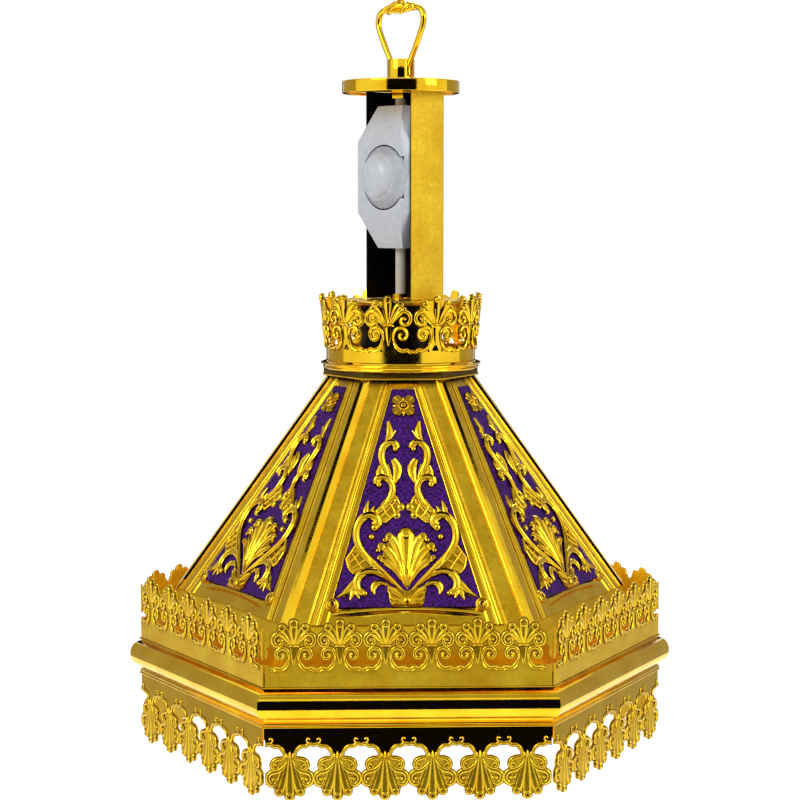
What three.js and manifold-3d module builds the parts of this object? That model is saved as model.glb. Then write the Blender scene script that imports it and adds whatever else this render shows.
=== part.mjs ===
// Hanging reading lantern: a six-sided metal shade with a pierced crown, galleries and hanging fringes,
// carried by a channel neck that holds a cord dimmer, under a round disc with a hanging loop.
// Millimetres, +Z up. The origin is the inside of the hanging loop's top, where a hook carries it.
// The front face of the shade looks along -Y, and the shade's corners lie on the X axis.

import * as THREE from "three";
import { ConvexGeometry } from "three/addons/geometries/ConvexGeometry.js";
import { mergeVertices } from "three/addons/utils/BufferGeometryUtils.js";
import Module from "manifold-3d";

const sides = 6;
const gap = 0.3; // kept between pieces that rest on each other
const cornerRatio = 1 / Math.cos(Math.PI / sides); // corner radius for an apothem of 1

// Hanging loop, its boss and the top disc
const wireRadius = 1.65;
const loopHalfWidth = 22.3;
const loopTopZ = wireRadius;
const bossRadius = 8.1;
const bossTopZ = -26.7;
const pivotZ = -35;
const pivotRadius = 1.5;
const footSpread = 6.75; // from the axis to the middle of each foot of the loop
const slotFloor = 4.9;
const slotWidth = 4.6;
const cableBore = 3.4;
const discTopZ = -39.5;
const discThickness = 7.4;
const discRadius = 34.8;
const seatDepth = 0.6; // of the shallow seat that holds the boss on the disc
const seatRadius = bossRadius + 0.4;

// Channel neck, open to the front left
const neckTurn = THREE.MathUtils.degToRad(-51);
const neckHalfWidth = 20.6;
const neckOpenY = -9.8;
const neckWebY = 16.7;
const neckSheet = 1;
const neckFootZ = -169;

// Cord dimmer in the neck
const dimmerTopZ = -54.3;
const dimmerBottomZ = -138.4;
const dimmerShoulder = 21; // height of each tapered end
const dimmerHalfWidth = 19.3;
const dimmerEndHalfWidth = 11.2;
const dimmerFrontY = -17.2;
const dimmerFrontEndY = -8.2;
const dimmerBackY = 12;
const dimmerWall = 1.8;
const knobRadius = 18.4;
const knobX = 4.5;
const knobZ = -96.7;
const recessRadius = 19.2;
const recessDepth = 3;
const notchHalf = 9.6; // the recess is open to the side over this height, for the thumb
const shaftRadius = 3;

// Cable
const cableRadius = 3.2;

// Neck foot, drum and central tube
const footDiscRadius = 36;
const footDiscThickness = 2.4;
const drumRadius = 24;
const tubeRadius = 5.3;
const tubeBore = 3.9;
const tubeTopZ = -165.5;
const tubeBottomZ = -236;

// Crown
const crownUnits = 10;
const crownTopZ = -164.4;
const crownPiercedZ = -197.8;
const crownBottomZ = -204.5;
const crownRadius = 44.6;
const crownTipRadius = 47.4;
const crownTurn = THREE.MathUtils.degToRad(7);
const flangeRadius = 47.9;
const flangeBottomZ = -209.9;
const skirtBottomZ = -214.6; // foot of the six-sided skirt over the tops of the plates
const skirtApothem = 40.6;

// Shade
const shadeTopZ = -216.6;
const shadeTopCorner = 44.9;
const hipSpread = 0.7164; // corner radius gained for each millimetre of height
const shellTopZ = -211.7;
const shellBottomZ = -371;
const shellSheet = 0.9;
const plateSheet = 1;
const plateLength = 149;
const ribRadius = 1.3;
// Each bead's distance from the panel, and how much that grows per millimetre down the slope
const ribLines = [
  [1.4, 0],
  [3.4, 0.009],
];
const panelTop = 4.2; // distances down the slope from the shade's top line
const panelBottom = 139;
const panelTopHalf = 6.2;
const panelBottomHalf = 41.7;
const panelSheet = 1;
const panelFace = gap + panelSheet; // height of the panel's ground over the shade's face
const eyeletRadius = 3.4;
const eyeletDown = 137.4;
const wingWidth = 11.5;

// Base band, galleries and fringes
const bandFace = 136.7; // apothem of the outside of the galleries and fringes
const stripSheet = 1;
const stripHalf = 78;
const bandTopZ = -373.6;
const rollApothem = 142.2;
const rollTopZ = -375.6;
const rollBottomZ = -391.3;
const bandBottomZ = -396;
const galleryUnits = 6;
const galleryPitch = 24.9;
const galleryTipZ = -335.5;
const galleryOpeningZ = -363.7;
const fringePitch = 25.9;
const fringeTipZ = -435.9;
const fringeTopZ = -396.3;
const fringeArchZ = -405.3;

const faceTilt = Math.atan(hipSpread / cornerRatio); // from the vertical
const topApothem = shadeTopCorner / cornerRatio;

const gold = new THREE.MeshStandardMaterial({ color: 0xd6a12a, roughness: 0.18, metalness: 1 });
const mattGold = new THREE.MeshStandardMaterial({ color: 0xc7982e, roughness: 0.35, metalness: 1 });
const darkMetal = new THREE.MeshStandardMaterial({ color: 0x1c1712, roughness: 0.3, metalness: 0.9 });
const purple = new THREE.MeshStandardMaterial({ color: 0x43108a, roughness: 0.5, metalness: 0.2 });
const paleGrey = new THREE.MeshStandardMaterial({ color: 0xc9ccd2, roughness: 0.5, metalness: 0 });
const cableGrey = new THREE.MeshStandardMaterial({ color: 0xbdb8a8, roughness: 0.55, metalness: 0 });
const steel = new THREE.MeshStandardMaterial({ color: 0xb5b5b0, roughness: 0.35, metalness: 1 });
const blackPlastic = new THREE.MeshStandardMaterial({ color: 0x161616, roughness: 0.45, metalness: 0 });
const board = new THREE.MeshStandardMaterial({ color: 0x2c6b3a, roughness: 0.6, metalness: 0 });
const frosted = new THREE.MeshStandardMaterial({ color: 0xf4efe2, roughness: 0.4, metalness: 0 });

const wasm = await Module();
wasm.setup();

const group = new THREE.Group();

// Solids from and to three.js geometries

function toSolid(geometry) {
  const bare = geometry.index ? geometry.toNonIndexed() : geometry.clone();
  bare.deleteAttribute("normal");
  bare.deleteAttribute("uv");
  const merged = mergeVertices(bare, 1e-4);
  return new wasm.Manifold(
    new wasm.Mesh({
      numProp: 3,
      vertProperties: merged.getAttribute("position").array,
      triVerts: new Uint32Array(merged.index.array),
    }),
  );
}

function toGeometry(solid) {
  const mesh = solid.getMesh();
  const geometry = new THREE.BufferGeometry();
  geometry.setAttribute("position", new THREE.Float32BufferAttribute(mesh.vertProperties, 3));
  geometry.setIndex(Array.from(mesh.triVerts));
  return geometry;
}

function join(first, ...others) {
  let solid = toSolid(first);
  for (const other of others) {
    solid = solid.add(toSolid(other));
  }
  return toGeometry(solid);
}

function cut(base, ...tools) {
  let solid = toSolid(base);
  for (const tool of tools) {
    solid = solid.subtract(toSolid(tool));
  }
  return toGeometry(solid);
}

function addMesh(parent, name, geometry, material) {
  const flat = geometry.index ? geometry.toNonIndexed() : geometry;
  flat.computeVertexNormals();
  const mesh = new THREE.Mesh(flat, material);
  mesh.name = name;
  parent.add(mesh);
}

// Basic shapes

// A profile of [radius, z] points turned about Z. It runs round its own outline anticlockwise, with the
// radius to the right and z upwards, and closes on itself or starts and ends on the axis.
function turned(profile, segments, start = 0) {
  const closed = profile[0][0] > 0;
  const points = profile.map(([radius, z]) => new THREE.Vector2(radius, z));
  if (closed) {
    points.push(points[0].clone());
  }
  return new THREE.LatheGeometry(points, segments, start).rotateX(Math.PI / 2);
}

// The same with six flat sides: the profile's first value is the apothem.
function sixSided(profile) {
  const corners = profile.map(([apothem, z]) => [apothem * cornerRatio, z]);
  return turned(corners, sides, Math.PI / sides);
}

function extruded(points, depth) {
  const shape = new THREE.Shape(points.map(([x, y]) => new THREE.Vector2(x, y)));
  return new THREE.ExtrudeGeometry(shape, { depth, bevelEnabled: false });
}

function rod(radius, from, to, segments) {
  const start = new THREE.Vector3(...from);
  const along = new THREE.Vector3(...to).sub(start);
  const geometry = new THREE.CylinderGeometry(radius, radius, along.length(), segments);
  const direction = along.clone().normalize();
  const turn = new THREE.Quaternion().setFromUnitVectors(new THREE.Vector3(0, 1, 0), direction);
  const middle = start.addScaledVector(along, 0.5);
  return geometry.applyQuaternion(turn).translate(middle.x, middle.y, middle.z);
}

function box(low, high) {
  const size = high.map((value, axis) => value - low[axis]);
  const middle = high.map((value, axis) => (value + low[axis]) / 2);
  return new THREE.BoxGeometry(...size).translate(...middle);
}

function wire(points, radius, steps, segments) {
  const path = new THREE.CatmullRomCurve3(points.map((point) => new THREE.Vector3(...point)));
  const section = new THREE.Shape();
  section.absarc(0, 0, radius, 0, 2 * Math.PI);
  return new THREE.ExtrudeGeometry(section, { steps, extrudePath: path, curveSegments: segments });
}

// A straight body between two sections with the same number of corners.
function loft(top, bottom) {
  const count = top.length;
  const positions = [...top, ...bottom].flatMap((point) => point.toArray());
  const flat = top.map((point) => new THREE.Vector2(point.x, point.y));
  const indices = [];
  for (const [a, b, c] of THREE.ShapeUtils.triangulateShape(flat, [])) {
    indices.push(a, b, c, count + a, count + c, count + b);
  }
  for (let i = 0; i < count; i += 1) {
    const next = (i + 1) % count;
    indices.push(i, count + i, next, next, count + i, count + next);
  }
  const geometry = new THREE.BufferGeometry();
  geometry.setAttribute("position", new THREE.Float32BufferAttribute(positions, 3));
  geometry.setIndex(indices);
  return geometry;
}

// Pierced strips

// Flat cells set side by side and given a thickness. Walls stand only on the edges that no two cells
// share, so neighbours grow together. place(x, y, depth) puts each point in space.
function pierced(cells, place) {
  const positions = [];
  const indices = [];
  const seen = new Map();
  const vertex = (x, y, depth) => {
    const point = place(x, y, depth);
    const key = point.map((value) => Math.round(value * 1e4)).join();
    if (!seen.has(key)) {
      seen.set(key, positions.length / 3);
      positions.push(...point);
    }
    return seen.get(key);
  };
  const rims = new Map();
  for (const cell of cells) {
    const flat = cell.map(([x, y]) => new THREE.Vector2(x, y));
    const front = cell.map(([x, y]) => vertex(x, y, 1));
    const back = cell.map(([x, y]) => vertex(x, y, 0));
    for (const [a, b, c] of THREE.ShapeUtils.triangulateShape(flat, [])) {
      indices.push(front[a], front[b], front[c], back[a], back[c], back[b]);
    }
    cell.forEach((_, i) => {
      const next = (i + 1) % cell.length;
      const twin = `${front[next]},${front[i]}`;
      if (rims.has(twin)) {
        rims.delete(twin);
      } else {
        rims.set(`${front[i]},${front[next]}`, [front[i], front[next], back[i], back[next]]);
      }
    });
  }
  for (const [a, b, c, d] of rims.values()) {
    indices.push(a, c, b, b, c, d);
  }
  const geometry = new THREE.BufferGeometry();
  geometry.setAttribute("position", new THREE.Float32BufferAttribute(positions, 3));
  geometry.setIndex(indices);
  return geometry;
}

// Each unit is a right half cell and its mirror image, and both run anticlockwise.
function repeatedCells(half, units, pitch) {
  const cells = [];
  for (let unit = 0; unit < units; unit += 1) {
    const middle = (unit - (units - 1) / 2) * pitch;
    cells.push(half.map(([x, y]) => [middle + x, y]));
    cells.push(half.map(([x, y]) => [middle - x, y]).reverse());
  }
  return cells;
}

// Half of one gallery palmette, from its stem line at x = 0 to the middle of the opening beside it.
// Heights are given as parts of the distance from the opening's foot (0) to the palmette's tip (1).
function galleryHalf(pitch, openingZ, tipZ, bottomZ) {
  const wide = pitch / 2;
  const tall = tipZ - openingZ;
  const lobes = [
    [1, 0.645],
    [0.78, 0.745],
    [0.55, 0.71],
    [0.59, 0.79],
    [0.4, 0.91],
    [0.17, 0.95],
    [0, 1],
  ];
  const opening = [
    [1, 0.475],
    [0.8, 0.27],
    [0.48, 0.26],
    [0.29, 0.14],
    [0.42, 0.03],
    [1, 0],
  ];
  const point = ([x, y]) => [x * wide, openingZ + y * tall];
  const flat = [
    [wide, bottomZ],
    [wide, openingZ],
  ];
  return [[0, bottomZ], ...flat, ...opening.slice(0, -1).reverse().map(point), ...lobes.map(point)];
}

// Half of one hanging palmette of the fringe, between its stem line and the middle of the arch beside it.
function fringeHalf(pitch, tipZ, archZ, topZ) {
  const wide = pitch / 2;
  const tall = archZ - tipZ;
  const lobes = [
    [0, 0],
    [0.35, 0.07],
    [0.62, 0.14],
    [0.63, 0.24],
    [0.93, 0.3],
    [1, 0.42],
  ];
  const arch = [
    [1, 0.5],
    [0.8, 0.56],
    [0.57, 0.74],
    [0.28, 0.83],
    [0.4, 0.97],
    [1, 1],
  ];
  const point = ([x, y]) => [x * wide, tipZ + y * tall];
  return [...lobes.map(point), ...arch.map(point), [wide, topZ], [0, topZ]];
}

// Hanging loop, boss and disc

const neck = new THREE.Group();
neck.rotation.z = neckTurn;
group.add(neck);

// The route runs from the left foot over the top to the right foot, in the loop's own plane.
function loopGeometry() {
  const rightLeg = [
    [0, loopTopZ],
    [8, loopTopZ + 0.8],
    [loopHalfWidth - wireRadius - 5.5, loopTopZ + 1.2],
    [loopHalfWidth - wireRadius - 1, loopTopZ - 2.2],
    [loopHalfWidth - wireRadius - 0.7, loopTopZ - 8.6],
    [15.6, -16],
    [10.4, -25],
    [footSpread, -31],
    [footSpread, pivotZ - pivotRadius],
  ];
  const leftLeg = rightLeg.slice(1).reverse().map(([x, z]) => [-x, z]);
  const route = [...leftLeg, ...rightLeg].map(([x, z]) => [x, 0, z]);
  const inner = 3.8;
  const pins = [-1, 1].map((side) => {
    return rod(pivotRadius, [side * footSpread, 0, pivotZ], [side * inner, 0, pivotZ], 10);
  });
  const knot = new THREE.SphereGeometry(3.1, 10, 6).scale(1.7, 1, 0.9).translate(0, 0, loopTopZ + 3.2);
  return join(wire(route, wireRadius, 28, 4), ...pins, knot);
}

function bossGeometry() {
  const body = rod(bossRadius, [0, 0, discTopZ - seatDepth + gap], [0, 0, bossTopZ], 28);
  const bore = rod(cableBore, [0, 0, discTopZ - seatDepth - 1], [0, 0, bossTopZ + 1], 14);
  const pivotBore = rod(pivotRadius + 0.1, [-bossRadius, 0, pivotZ], [bossRadius, 0, pivotZ], 12);
  const slots = [-1, 1].map((side) => {
    const low = [Math.min(side * slotFloor, side * 10), -slotWidth / 2, pivotZ - 2.4];
    const high = [Math.max(side * slotFloor, side * 10), slotWidth / 2, bossTopZ + 1];
    return box(low, high);
  });
  return cut(body, bore, pivotBore, ...slots);
}

function discGeometry() {
  const bottom = discTopZ - discThickness;
  const profile = [
    [cableBore, bottom + 2],
    [discRadius - 2, bottom + 2],
    [discRadius - 2, bottom],
    [discRadius, bottom],
    [discRadius, discTopZ - 0.7],
    [discRadius - 0.7, discTopZ],
    [seatRadius, discTopZ],
    [seatRadius, discTopZ - seatDepth],
    [cableBore, discTopZ - seatDepth],
  ];
  return turned(profile, 36);
}

function hexNut(acrossCorners, bore, lowZ, highZ) {
  const profile = [
    [bore, lowZ],
    [acrossCorners, lowZ],
    [acrossCorners, highZ],
    [bore, highZ],
  ];
  const outer = turned(profile, 6);
  const hole = rod(bore + 0.3, [0, 0, lowZ - 1], [0, 0, highZ + 1], 20);
  return cut(outer, hole);
}

const discBottomZ = discTopZ - discThickness;
addMesh(neck, "hanging_loop", loopGeometry(), gold);
addMesh(neck, "loop_boss", bossGeometry(), gold);
addMesh(neck, "top_disc", discGeometry(), gold);
addMesh(neck, "boss_nut", hexNut(6.6, cableBore, discBottomZ - 3, discBottomZ + 1.7), mattGold);

// Channel neck

function channelGeometry() {
  const inner = neckHalfWidth - neckSheet;
  const section = [
    [-neckHalfWidth, neckOpenY],
    [-inner, neckOpenY],
    [-inner, neckWebY - neckSheet],
    [inner, neckWebY - neckSheet],
    [inner, neckOpenY],
    [neckHalfWidth, neckOpenY],
    [neckHalfWidth, neckWebY],
    [-neckHalfWidth, neckWebY],
  ];
  const lowZ = neckFootZ + gap;
  return extruded(section, discBottomZ + 2 - gap - lowZ).translate(0, 0, lowZ);
}

addMesh(neck, "neck_channel", channelGeometry(), gold);

// Dimmer

// Corner points of the case between two Y planes, with its outline drawn in by inset.
function dimmerHull(middleY, endY, seamY, inset) {
  const wide = dimmerHalfWidth - inset;
  const narrow = dimmerEndHalfWidth - inset;
  const levels = [
    [dimmerTopZ - inset, narrow, endY],
    [dimmerTopZ - dimmerShoulder, wide, middleY],
    [dimmerBottomZ + dimmerShoulder, wide, middleY],
    [dimmerBottomZ + inset, narrow, endY],
  ];
  const points = [];
  for (const [z, halfWidth, faceY] of levels) {
    for (const x of [-halfWidth, halfWidth]) {
      points.push(new THREE.Vector3(x, faceY, z), new THREE.Vector3(x, seamY, z));
    }
  }
  return new ConvexGeometry(points);
}

function dimmerFront() {
  const seam = -gap / 2;
  const recessFloor = dimmerFrontY + recessDepth;
  const cavityFront = recessFloor + dimmerWall;
  const outer = dimmerHull(dimmerFrontY, dimmerFrontEndY, seam, 0);
  const cavity = dimmerHull(cavityFront, dimmerFrontEndY + dimmerWall, seam + 1, dimmerWall);
  const recess = rod(recessRadius, [knobX, dimmerFrontY - 1, knobZ], [knobX, recessFloor, knobZ], 40);
  const notchLow = [knobX + 13, dimmerFrontY - 1, knobZ - notchHalf];
  const notch = box(notchLow, [dimmerHalfWidth + 1, recessFloor, knobZ + notchHalf]);
  const shaftHole = rod(shaftRadius + 0.3, [knobX, dimmerFrontY, knobZ], [knobX, 0, knobZ], 20);
  return cut(outer, cavity, recess, notch, shaftHole, ...cableHoles());
}

function dimmerBack() {
  const seam = gap / 2;
  const outer = dimmerHull(dimmerBackY, dimmerBackY - 4, seam, 0);
  const cavity = dimmerHull(dimmerBackY - dimmerWall, dimmerBackY - 4 - dimmerWall, seam - 1, dimmerWall);
  return cut(outer, cavity, ...cableHoles());
}

function cableHoles() {
  const radius = cableRadius + gap;
  const top = rod(radius, [0, 0, dimmerTopZ - 6], [0, 0, dimmerTopZ + 3], 16);
  const bottom = rod(radius, [0, 0, dimmerBottomZ - 3], [0, 0, dimmerBottomZ + 6], 16);
  return [top, bottom];
}

// Domed thumb wheel on a short shaft, with grip ridges round its rim.
function knobGeometry() {
  const baseY = dimmerFrontY + recessDepth - gap;
  const profile = [
    [0, 0],
    [knobRadius, 0],
    [knobRadius, 3],
    [16.6, 4],
    [11.5, 7.8],
    [9.4, 10.4],
    [5.4, 12.1],
    [0, 12.7],
  ];
  const dome = turned(profile, 32);
  const grooves = [];
  const ridges = 16;
  for (let i = 0; i < ridges; i += 1) {
    const angle = (i * 2 * Math.PI) / ridges;
    const x = (knobRadius + 0.35) * Math.cos(angle);
    const y = (knobRadius + 0.35) * Math.sin(angle);
    grooves.push(rod(0.8, [x, y, -1], [x, y, 4.6], 6));
  }
  const socket = rod(shaftRadius - 0.6, [0, 0, -1], [0, 0, 4], 16);
  return cut(dome, ...grooves, socket).rotateX(Math.PI / 2).translate(knobX, baseY, knobZ);
}

function circuitGeometry() {
  const boardY = 1.5;
  const boardPlate = box([-13, boardY, -124], [13, boardY + 1.6, -70]);
  const control = rod(8, [knobX, -8.5, knobZ], [knobX, boardY + 0.5, knobZ], 24);
  const terminals = box([-8, boardY - 1, -122], [8, boardY + 0.5, -114]);
  const coil = box([-9, boardY + 1, -88], [7, boardY + 6, -72]);
  const well = rod(shaftRadius - 0.6, [knobX, -10, knobZ], [knobX, -3, knobZ], 16);
  return cut(join(boardPlate, control, terminals, coil), well);
}

function shaftGeometry() {
  const outerY = dimmerFrontY + recessDepth - gap - 3.7;
  const collarY = dimmerFrontY + recessDepth + gap;
  const stem = rod(shaftRadius - 0.9, [knobX, outerY, knobZ], [knobX, -3.5, knobZ], 16);
  const collar = rod(shaftRadius, [knobX, collarY, knobZ], [knobX, collarY + 4, knobZ], 16);
  return join(stem, collar);
}

addMesh(neck, "dimmer_case_front", dimmerFront(), paleGrey);
addMesh(neck, "dimmer_case_back", dimmerBack(), paleGrey);
addMesh(neck, "dimmer_knob", knobGeometry(), paleGrey);
addMesh(neck, "dimmer_shaft", shaftGeometry(), steel);
addMesh(neck, "dimmer_circuit", circuitGeometry(), board);

// Cable lengths held in the neck

function cableGeometry(highZ, lowZ) {
  return rod(cableRadius, [0, 0, lowZ], [0, 0, highZ], 12);
}

addMesh(neck, "cable_upper", cableGeometry(bossTopZ - 1, dimmerTopZ - 5), cableGrey);
addMesh(neck, "cable_lower", cableGeometry(dimmerBottomZ + 5, tubeBottomZ + 2), cableGrey);

// Neck foot, drum, central tube and nuts

function footDiscGeometry() {
  const low = neckFootZ - footDiscThickness;
  const profile = [
    [tubeRadius + gap, low],
    [footDiscRadius, low],
    [footDiscRadius, neckFootZ - 0.7],
    [footDiscRadius - 0.8, neckFootZ],
    [tubeRadius + gap, neckFootZ],
  ];
  return turned(profile, 32);
}

function tubeRing(outer, inner, lowZ, highZ, segments) {
  const profile = [
    [inner, lowZ],
    [outer, lowZ],
    [outer, highZ],
    [inner, highZ],
  ];
  return turned(profile, segments);
}

const drumTopZ = neckFootZ - footDiscThickness - gap;
const nutHeight = 4;
addMesh(group, "neck_foot_disc", footDiscGeometry(), mattGold);
addMesh(group, "neck_drum", tubeRing(drumRadius, drumRadius - 1, crownBottomZ, drumTopZ, 24), darkMetal);
addMesh(group, "central_tube", tubeRing(tubeRadius, tubeBore, tubeBottomZ, tubeTopZ, 24), gold);
addMesh(group, "tube_nut_upper", hexNut(9, tubeRadius, drumTopZ - nutHeight, drumTopZ), mattGold);
addMesh(group, "tube_nut_lower", hexNut(9, tubeRadius, shellTopZ - nutHeight, shellTopZ), mattGold);

// Crown

function crownGeometry() {
  const pitch = (2 * Math.PI * crownRadius) / crownUnits;
  const half = galleryHalf(pitch, crownPiercedZ, crownTopZ, crownBottomZ);
  const lean = (crownTipRadius - crownRadius) / (crownTopZ - crownPiercedZ);
  const place = (x, z, depth) => {
    const angle = x / crownRadius + crownTurn;
    const radius = crownRadius + lean * Math.max(0, z - crownPiercedZ) - (1 - depth) * stripSheet;
    return [radius * Math.sin(angle), -radius * Math.cos(angle), z];
  };
  return pierced(repeatedCells(half, crownUnits, pitch), place);
}

function flangeGeometry() {
  const topZ = crownBottomZ - gap;
  const profile = [
    [tubeRadius + gap, topZ - 1.4],
    [42, topZ - 1.4],
    [42, flangeBottomZ],
    [46.2, flangeBottomZ],
    [46.6, topZ - 2.8],
    [flangeRadius, topZ - 2.4],
    [flangeRadius, topZ - 1.2],
    [tubeRadius + gap, topZ],
  ];
  const skirt = sixSided([
    [skirtApothem - 2, skirtBottomZ],
    [skirtApothem, skirtBottomZ],
    [skirtApothem - 0.4, flangeBottomZ + 0.5],
    [skirtApothem - 2, flangeBottomZ + 0.5],
  ]);
  return join(turned(profile, 32), skirt);
}

addMesh(group, "crown_lace", crownGeometry(), gold);
addMesh(group, "crown_flange", flangeGeometry(), gold);

// Shade: cap plate, inner shell, face plates, panels and corner trims

const cornerAt = (z) => shadeTopCorner + hipSpread * (shadeTopZ - z);
const zAtSlope = (down) => shadeTopZ - down * Math.cos(faceTilt);
const faceHalfAt = (down) => cornerAt(zAtSlope(down)) / 2;
const wingAt = (down) => wingWidth + 0.0145 * down;
const panelHalfAt = (down) => {
  const share = (down - panelTop) / (panelBottom - panelTop);
  return panelTopHalf + share * (panelBottomHalf - panelTopHalf);
};

function capPlateGeometry() {
  const topZ = flangeBottomZ - gap;
  const outer = cornerAt(topZ) / cornerRatio - 1.5;
  const blank = sixSided([
    [1, topZ - 1.2],
    [outer, topZ - 1.2],
    [outer, topZ],
    [1, topZ],
  ]);
  return cut(blank, rod(tubeRadius + gap, [0, 0, topZ - 3], [0, 0, topZ + 3], 20));
}

function shellGeometry() {
  const sink = (plateSheet + gap) / Math.cos(faceTilt);
  const sheet = shellSheet / Math.cos(faceTilt);
  const outerAt = (z) => cornerAt(z) / cornerRatio - sink;
  return sixSided([
    [outerAt(shellBottomZ) - sheet, shellBottomZ],
    [outerAt(shellBottomZ), shellBottomZ],
    [outerAt(shellTopZ - gap), shellTopZ - gap],
    [outerAt(shellTopZ - gap) - sheet, shellTopZ - gap],
  ]);
}

// Flat shapes on the slope: x across, y up the slope, z out of the face.
function facePlateGeometry() {
  const top = -1.5;
  const edgeAt = (down) => faceHalfAt(down) - wingAt(down) - 1;
  const outline = [
    [-edgeAt(plateLength), -plateLength],
    [edgeAt(plateLength), -plateLength],
    [edgeAt(top), -top],
    [-edgeAt(top), -top],
  ];
  const plate = extruded(outline, plateSheet).translate(0, 0, -plateSheet);
  const details = [];
  for (const side of [-1, 1]) {
    for (const [offset, spread] of ribLines) {
      const lineAt = (down) => {
        return [side * (panelHalfAt(down) + offset + spread * down), -down, ribRadius - plateSheet];
      };
      details.push(rod(ribRadius, lineAt(0.5), lineAt(plateLength - 0.5), 6));
    }
    const place = [side * (panelBottomHalf - 0.2), -eyeletDown];
    details.push(rod(eyeletRadius, [...place, -0.5], [...place, 2.4], 12));
  }
  return join(plate, ...details, railGeometry());
}

// The low rail under the panel, bowed up in its middle.
function railGeometry() {
  const half = panelBottomHalf - 1;
  const rail = new THREE.Shape();
  rail.moveTo(-half, -144.8);
  rail.quadraticCurveTo(0, -140.8, half, -144.8);
  rail.lineTo(half, -142);
  rail.quadraticCurveTo(0, -137.2, -half, -142);
  const options = { depth: 1.7, bevelEnabled: false, curveSegments: 4 };
  return new THREE.ExtrudeGeometry(rail, options).translate(0, 0, -0.5);
}

function panelGeometry() {
  const outline = [
    [-panelBottomHalf, -panelBottom],
    [panelBottomHalf, -panelBottom],
    [panelTopHalf, -panelTop],
    [-panelTopHalf, -panelTop],
  ];
  const blank = extruded(outline, panelSheet).translate(0, 0, gap);
  const corners = [-1, 1].map((side) => {
    const place = [side * (panelBottomHalf - 0.2), -eyeletDown];
    return rod(eyeletRadius + gap, [...place, -1], [...place, 4], 12);
  });
  const ribs = [-1, 1].map((side) => {
    const lineAt = (down) => [side * (panelHalfAt(down) + ribLines[0][0]), -down, ribRadius - plateSheet];
    return rod(ribRadius + gap, lineAt(-5), lineAt(plateLength), 6);
  });
  return cut(join(blank, ...ornamentGeometries()), ...corners, ...ribs);
}

// Pressed ornament of the panel. Points are [across, down the slope].

// A raised scroll: a bar with sloping sides along its route. Its half width runs from the first width to
// the second.
function scrollGeometry({ route, widths, height }, side) {
  const line = route.map(([x, down]) => new THREE.Vector2(side * x, -down));
  const positions = [];
  line.forEach((point, i) => {
    const before = line[Math.max(0, i - 1)];
    const after = line[Math.min(line.length - 1, i + 1)];
    const across = after.clone().sub(before).normalize().rotateAround(new THREE.Vector2(), Math.PI / 2);
    const width = THREE.MathUtils.lerp(widths[0], widths[1], i / (line.length - 1));
    for (const [share, z] of [[1, panelFace - 0.3], [0.6, panelFace + height]]) {
      for (const edge of [-1, 1]) {
        const corner = point.clone().addScaledVector(across, edge * share * width);
        positions.push(corner.x, corner.y, z);
      }
    }
  });
  const ring = [0, 1, 3, 2]; // the section's corners in order round it
  const last = 4 * (line.length - 1);
  const indices = [0, 3, 1, 0, 2, 3, last, last + 1, last + 3, last, last + 3, last + 2];
  for (let i = 0; i < line.length - 1; i += 1) {
    ring.forEach((corner, edge) => {
      const a = 4 * i + corner;
      const b = 4 * i + ring[(edge + 1) % 4];
      indices.push(a, b, a + 4, b, b + 4, a + 4);
    });
  }
  const geometry = new THREE.BufferGeometry();
  geometry.setAttribute("position", new THREE.Float32BufferAttribute(positions, 3));
  geometry.setIndex(indices);
  return geometry;
}

// A raised leaf: a convex outline with sides that slope in to a smaller top.
function leafGeometry({ outline, height }, side) {
  const points = outline.map(([x, down]) => new THREE.Vector3(side * x, -down, panelFace - 0.3));
  const middle = new THREE.Vector3();
  points.forEach((point) => middle.addScaledVector(point, 1 / points.length));
  const tops = points.map((point) => point.clone().lerp(middle, 0.3).setZ(panelFace + height));
  return new ConvexGeometry([...points, ...tops]);
}

// Right half of the ornament, from the top of the panel down. The left half is its mirror image.
const scrolls = [
  { route: [[6, 43], [3.6, 40], [8, 38], [12, 43], [12.4, 48], [9, 56]], widths: [1.2, 1.6], height: 1.3 },
  { route: [[13, 65], [15.6, 62], [11, 60], [6.6, 66], [10, 77], [20, 84]], widths: [1.3, 1.8], height: 1.4 },
  {
    route: [[19.6, 91.4], [14.4, 90.4], [18.4, 85], [26.4, 89], [28, 97], [22, 109.8], [3, 129]],
    widths: [1.6, 1.9],
    height: 1.5,
  },
  { route: [[8, 123.8], [18, 117], [26, 118.8], [28.4, 125], [24, 131.4]], widths: [1.5, 1.6], height: 1.3 },
  { route: [[10, 126.4], [14.4, 124.6], [18.4, 127], [17.2, 130.8]], widths: [0.9, 1.2], height: 1 },
];
const leaves = [
  { outline: [[5.6, 24.6], [4, 31], [7, 38], [11, 39.4], [9, 31]], height: 1 },
  { outline: [[6.4, 50], [3, 54], [3.4, 59], [6.4, 64.6], [11, 59.6], [13.8, 55]], height: 1.4 },
  { outline: [[8, 73.4], [15.6, 84.4], [9.4, 89], [1.2, 80.4]], height: 1.2 },
  { outline: [[20, 74.6], [17.2, 79], [20, 84.6], [23.6, 84.6]], height: 1 },
  { outline: [[28.4, 102], [33.8, 107], [33.4, 113], [30.4, 119], [20.6, 114.8], [25, 105.4]], height: 1.2 },
  { outline: [[27, 121], [38, 132.4], [31, 134.4], [26.6, 131]], height: 1.2 },
];
const middleLeaves = [
  { outline: [[0, 8.8], [5, 10.4], [6.4, 15.3], [5, 20.2], [0, 21.8]], height: 1.3 },
  { outline: [[0, 92], [6, 93.4], [14, 99.6], [16.6, 105.4], [13.6, 112.4], [2, 128.4]], height: 1.8 },
  { outline: [[0, 129.6], [10.4, 127.2], [8.4, 138.2]], height: 1.4 },
];

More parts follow.
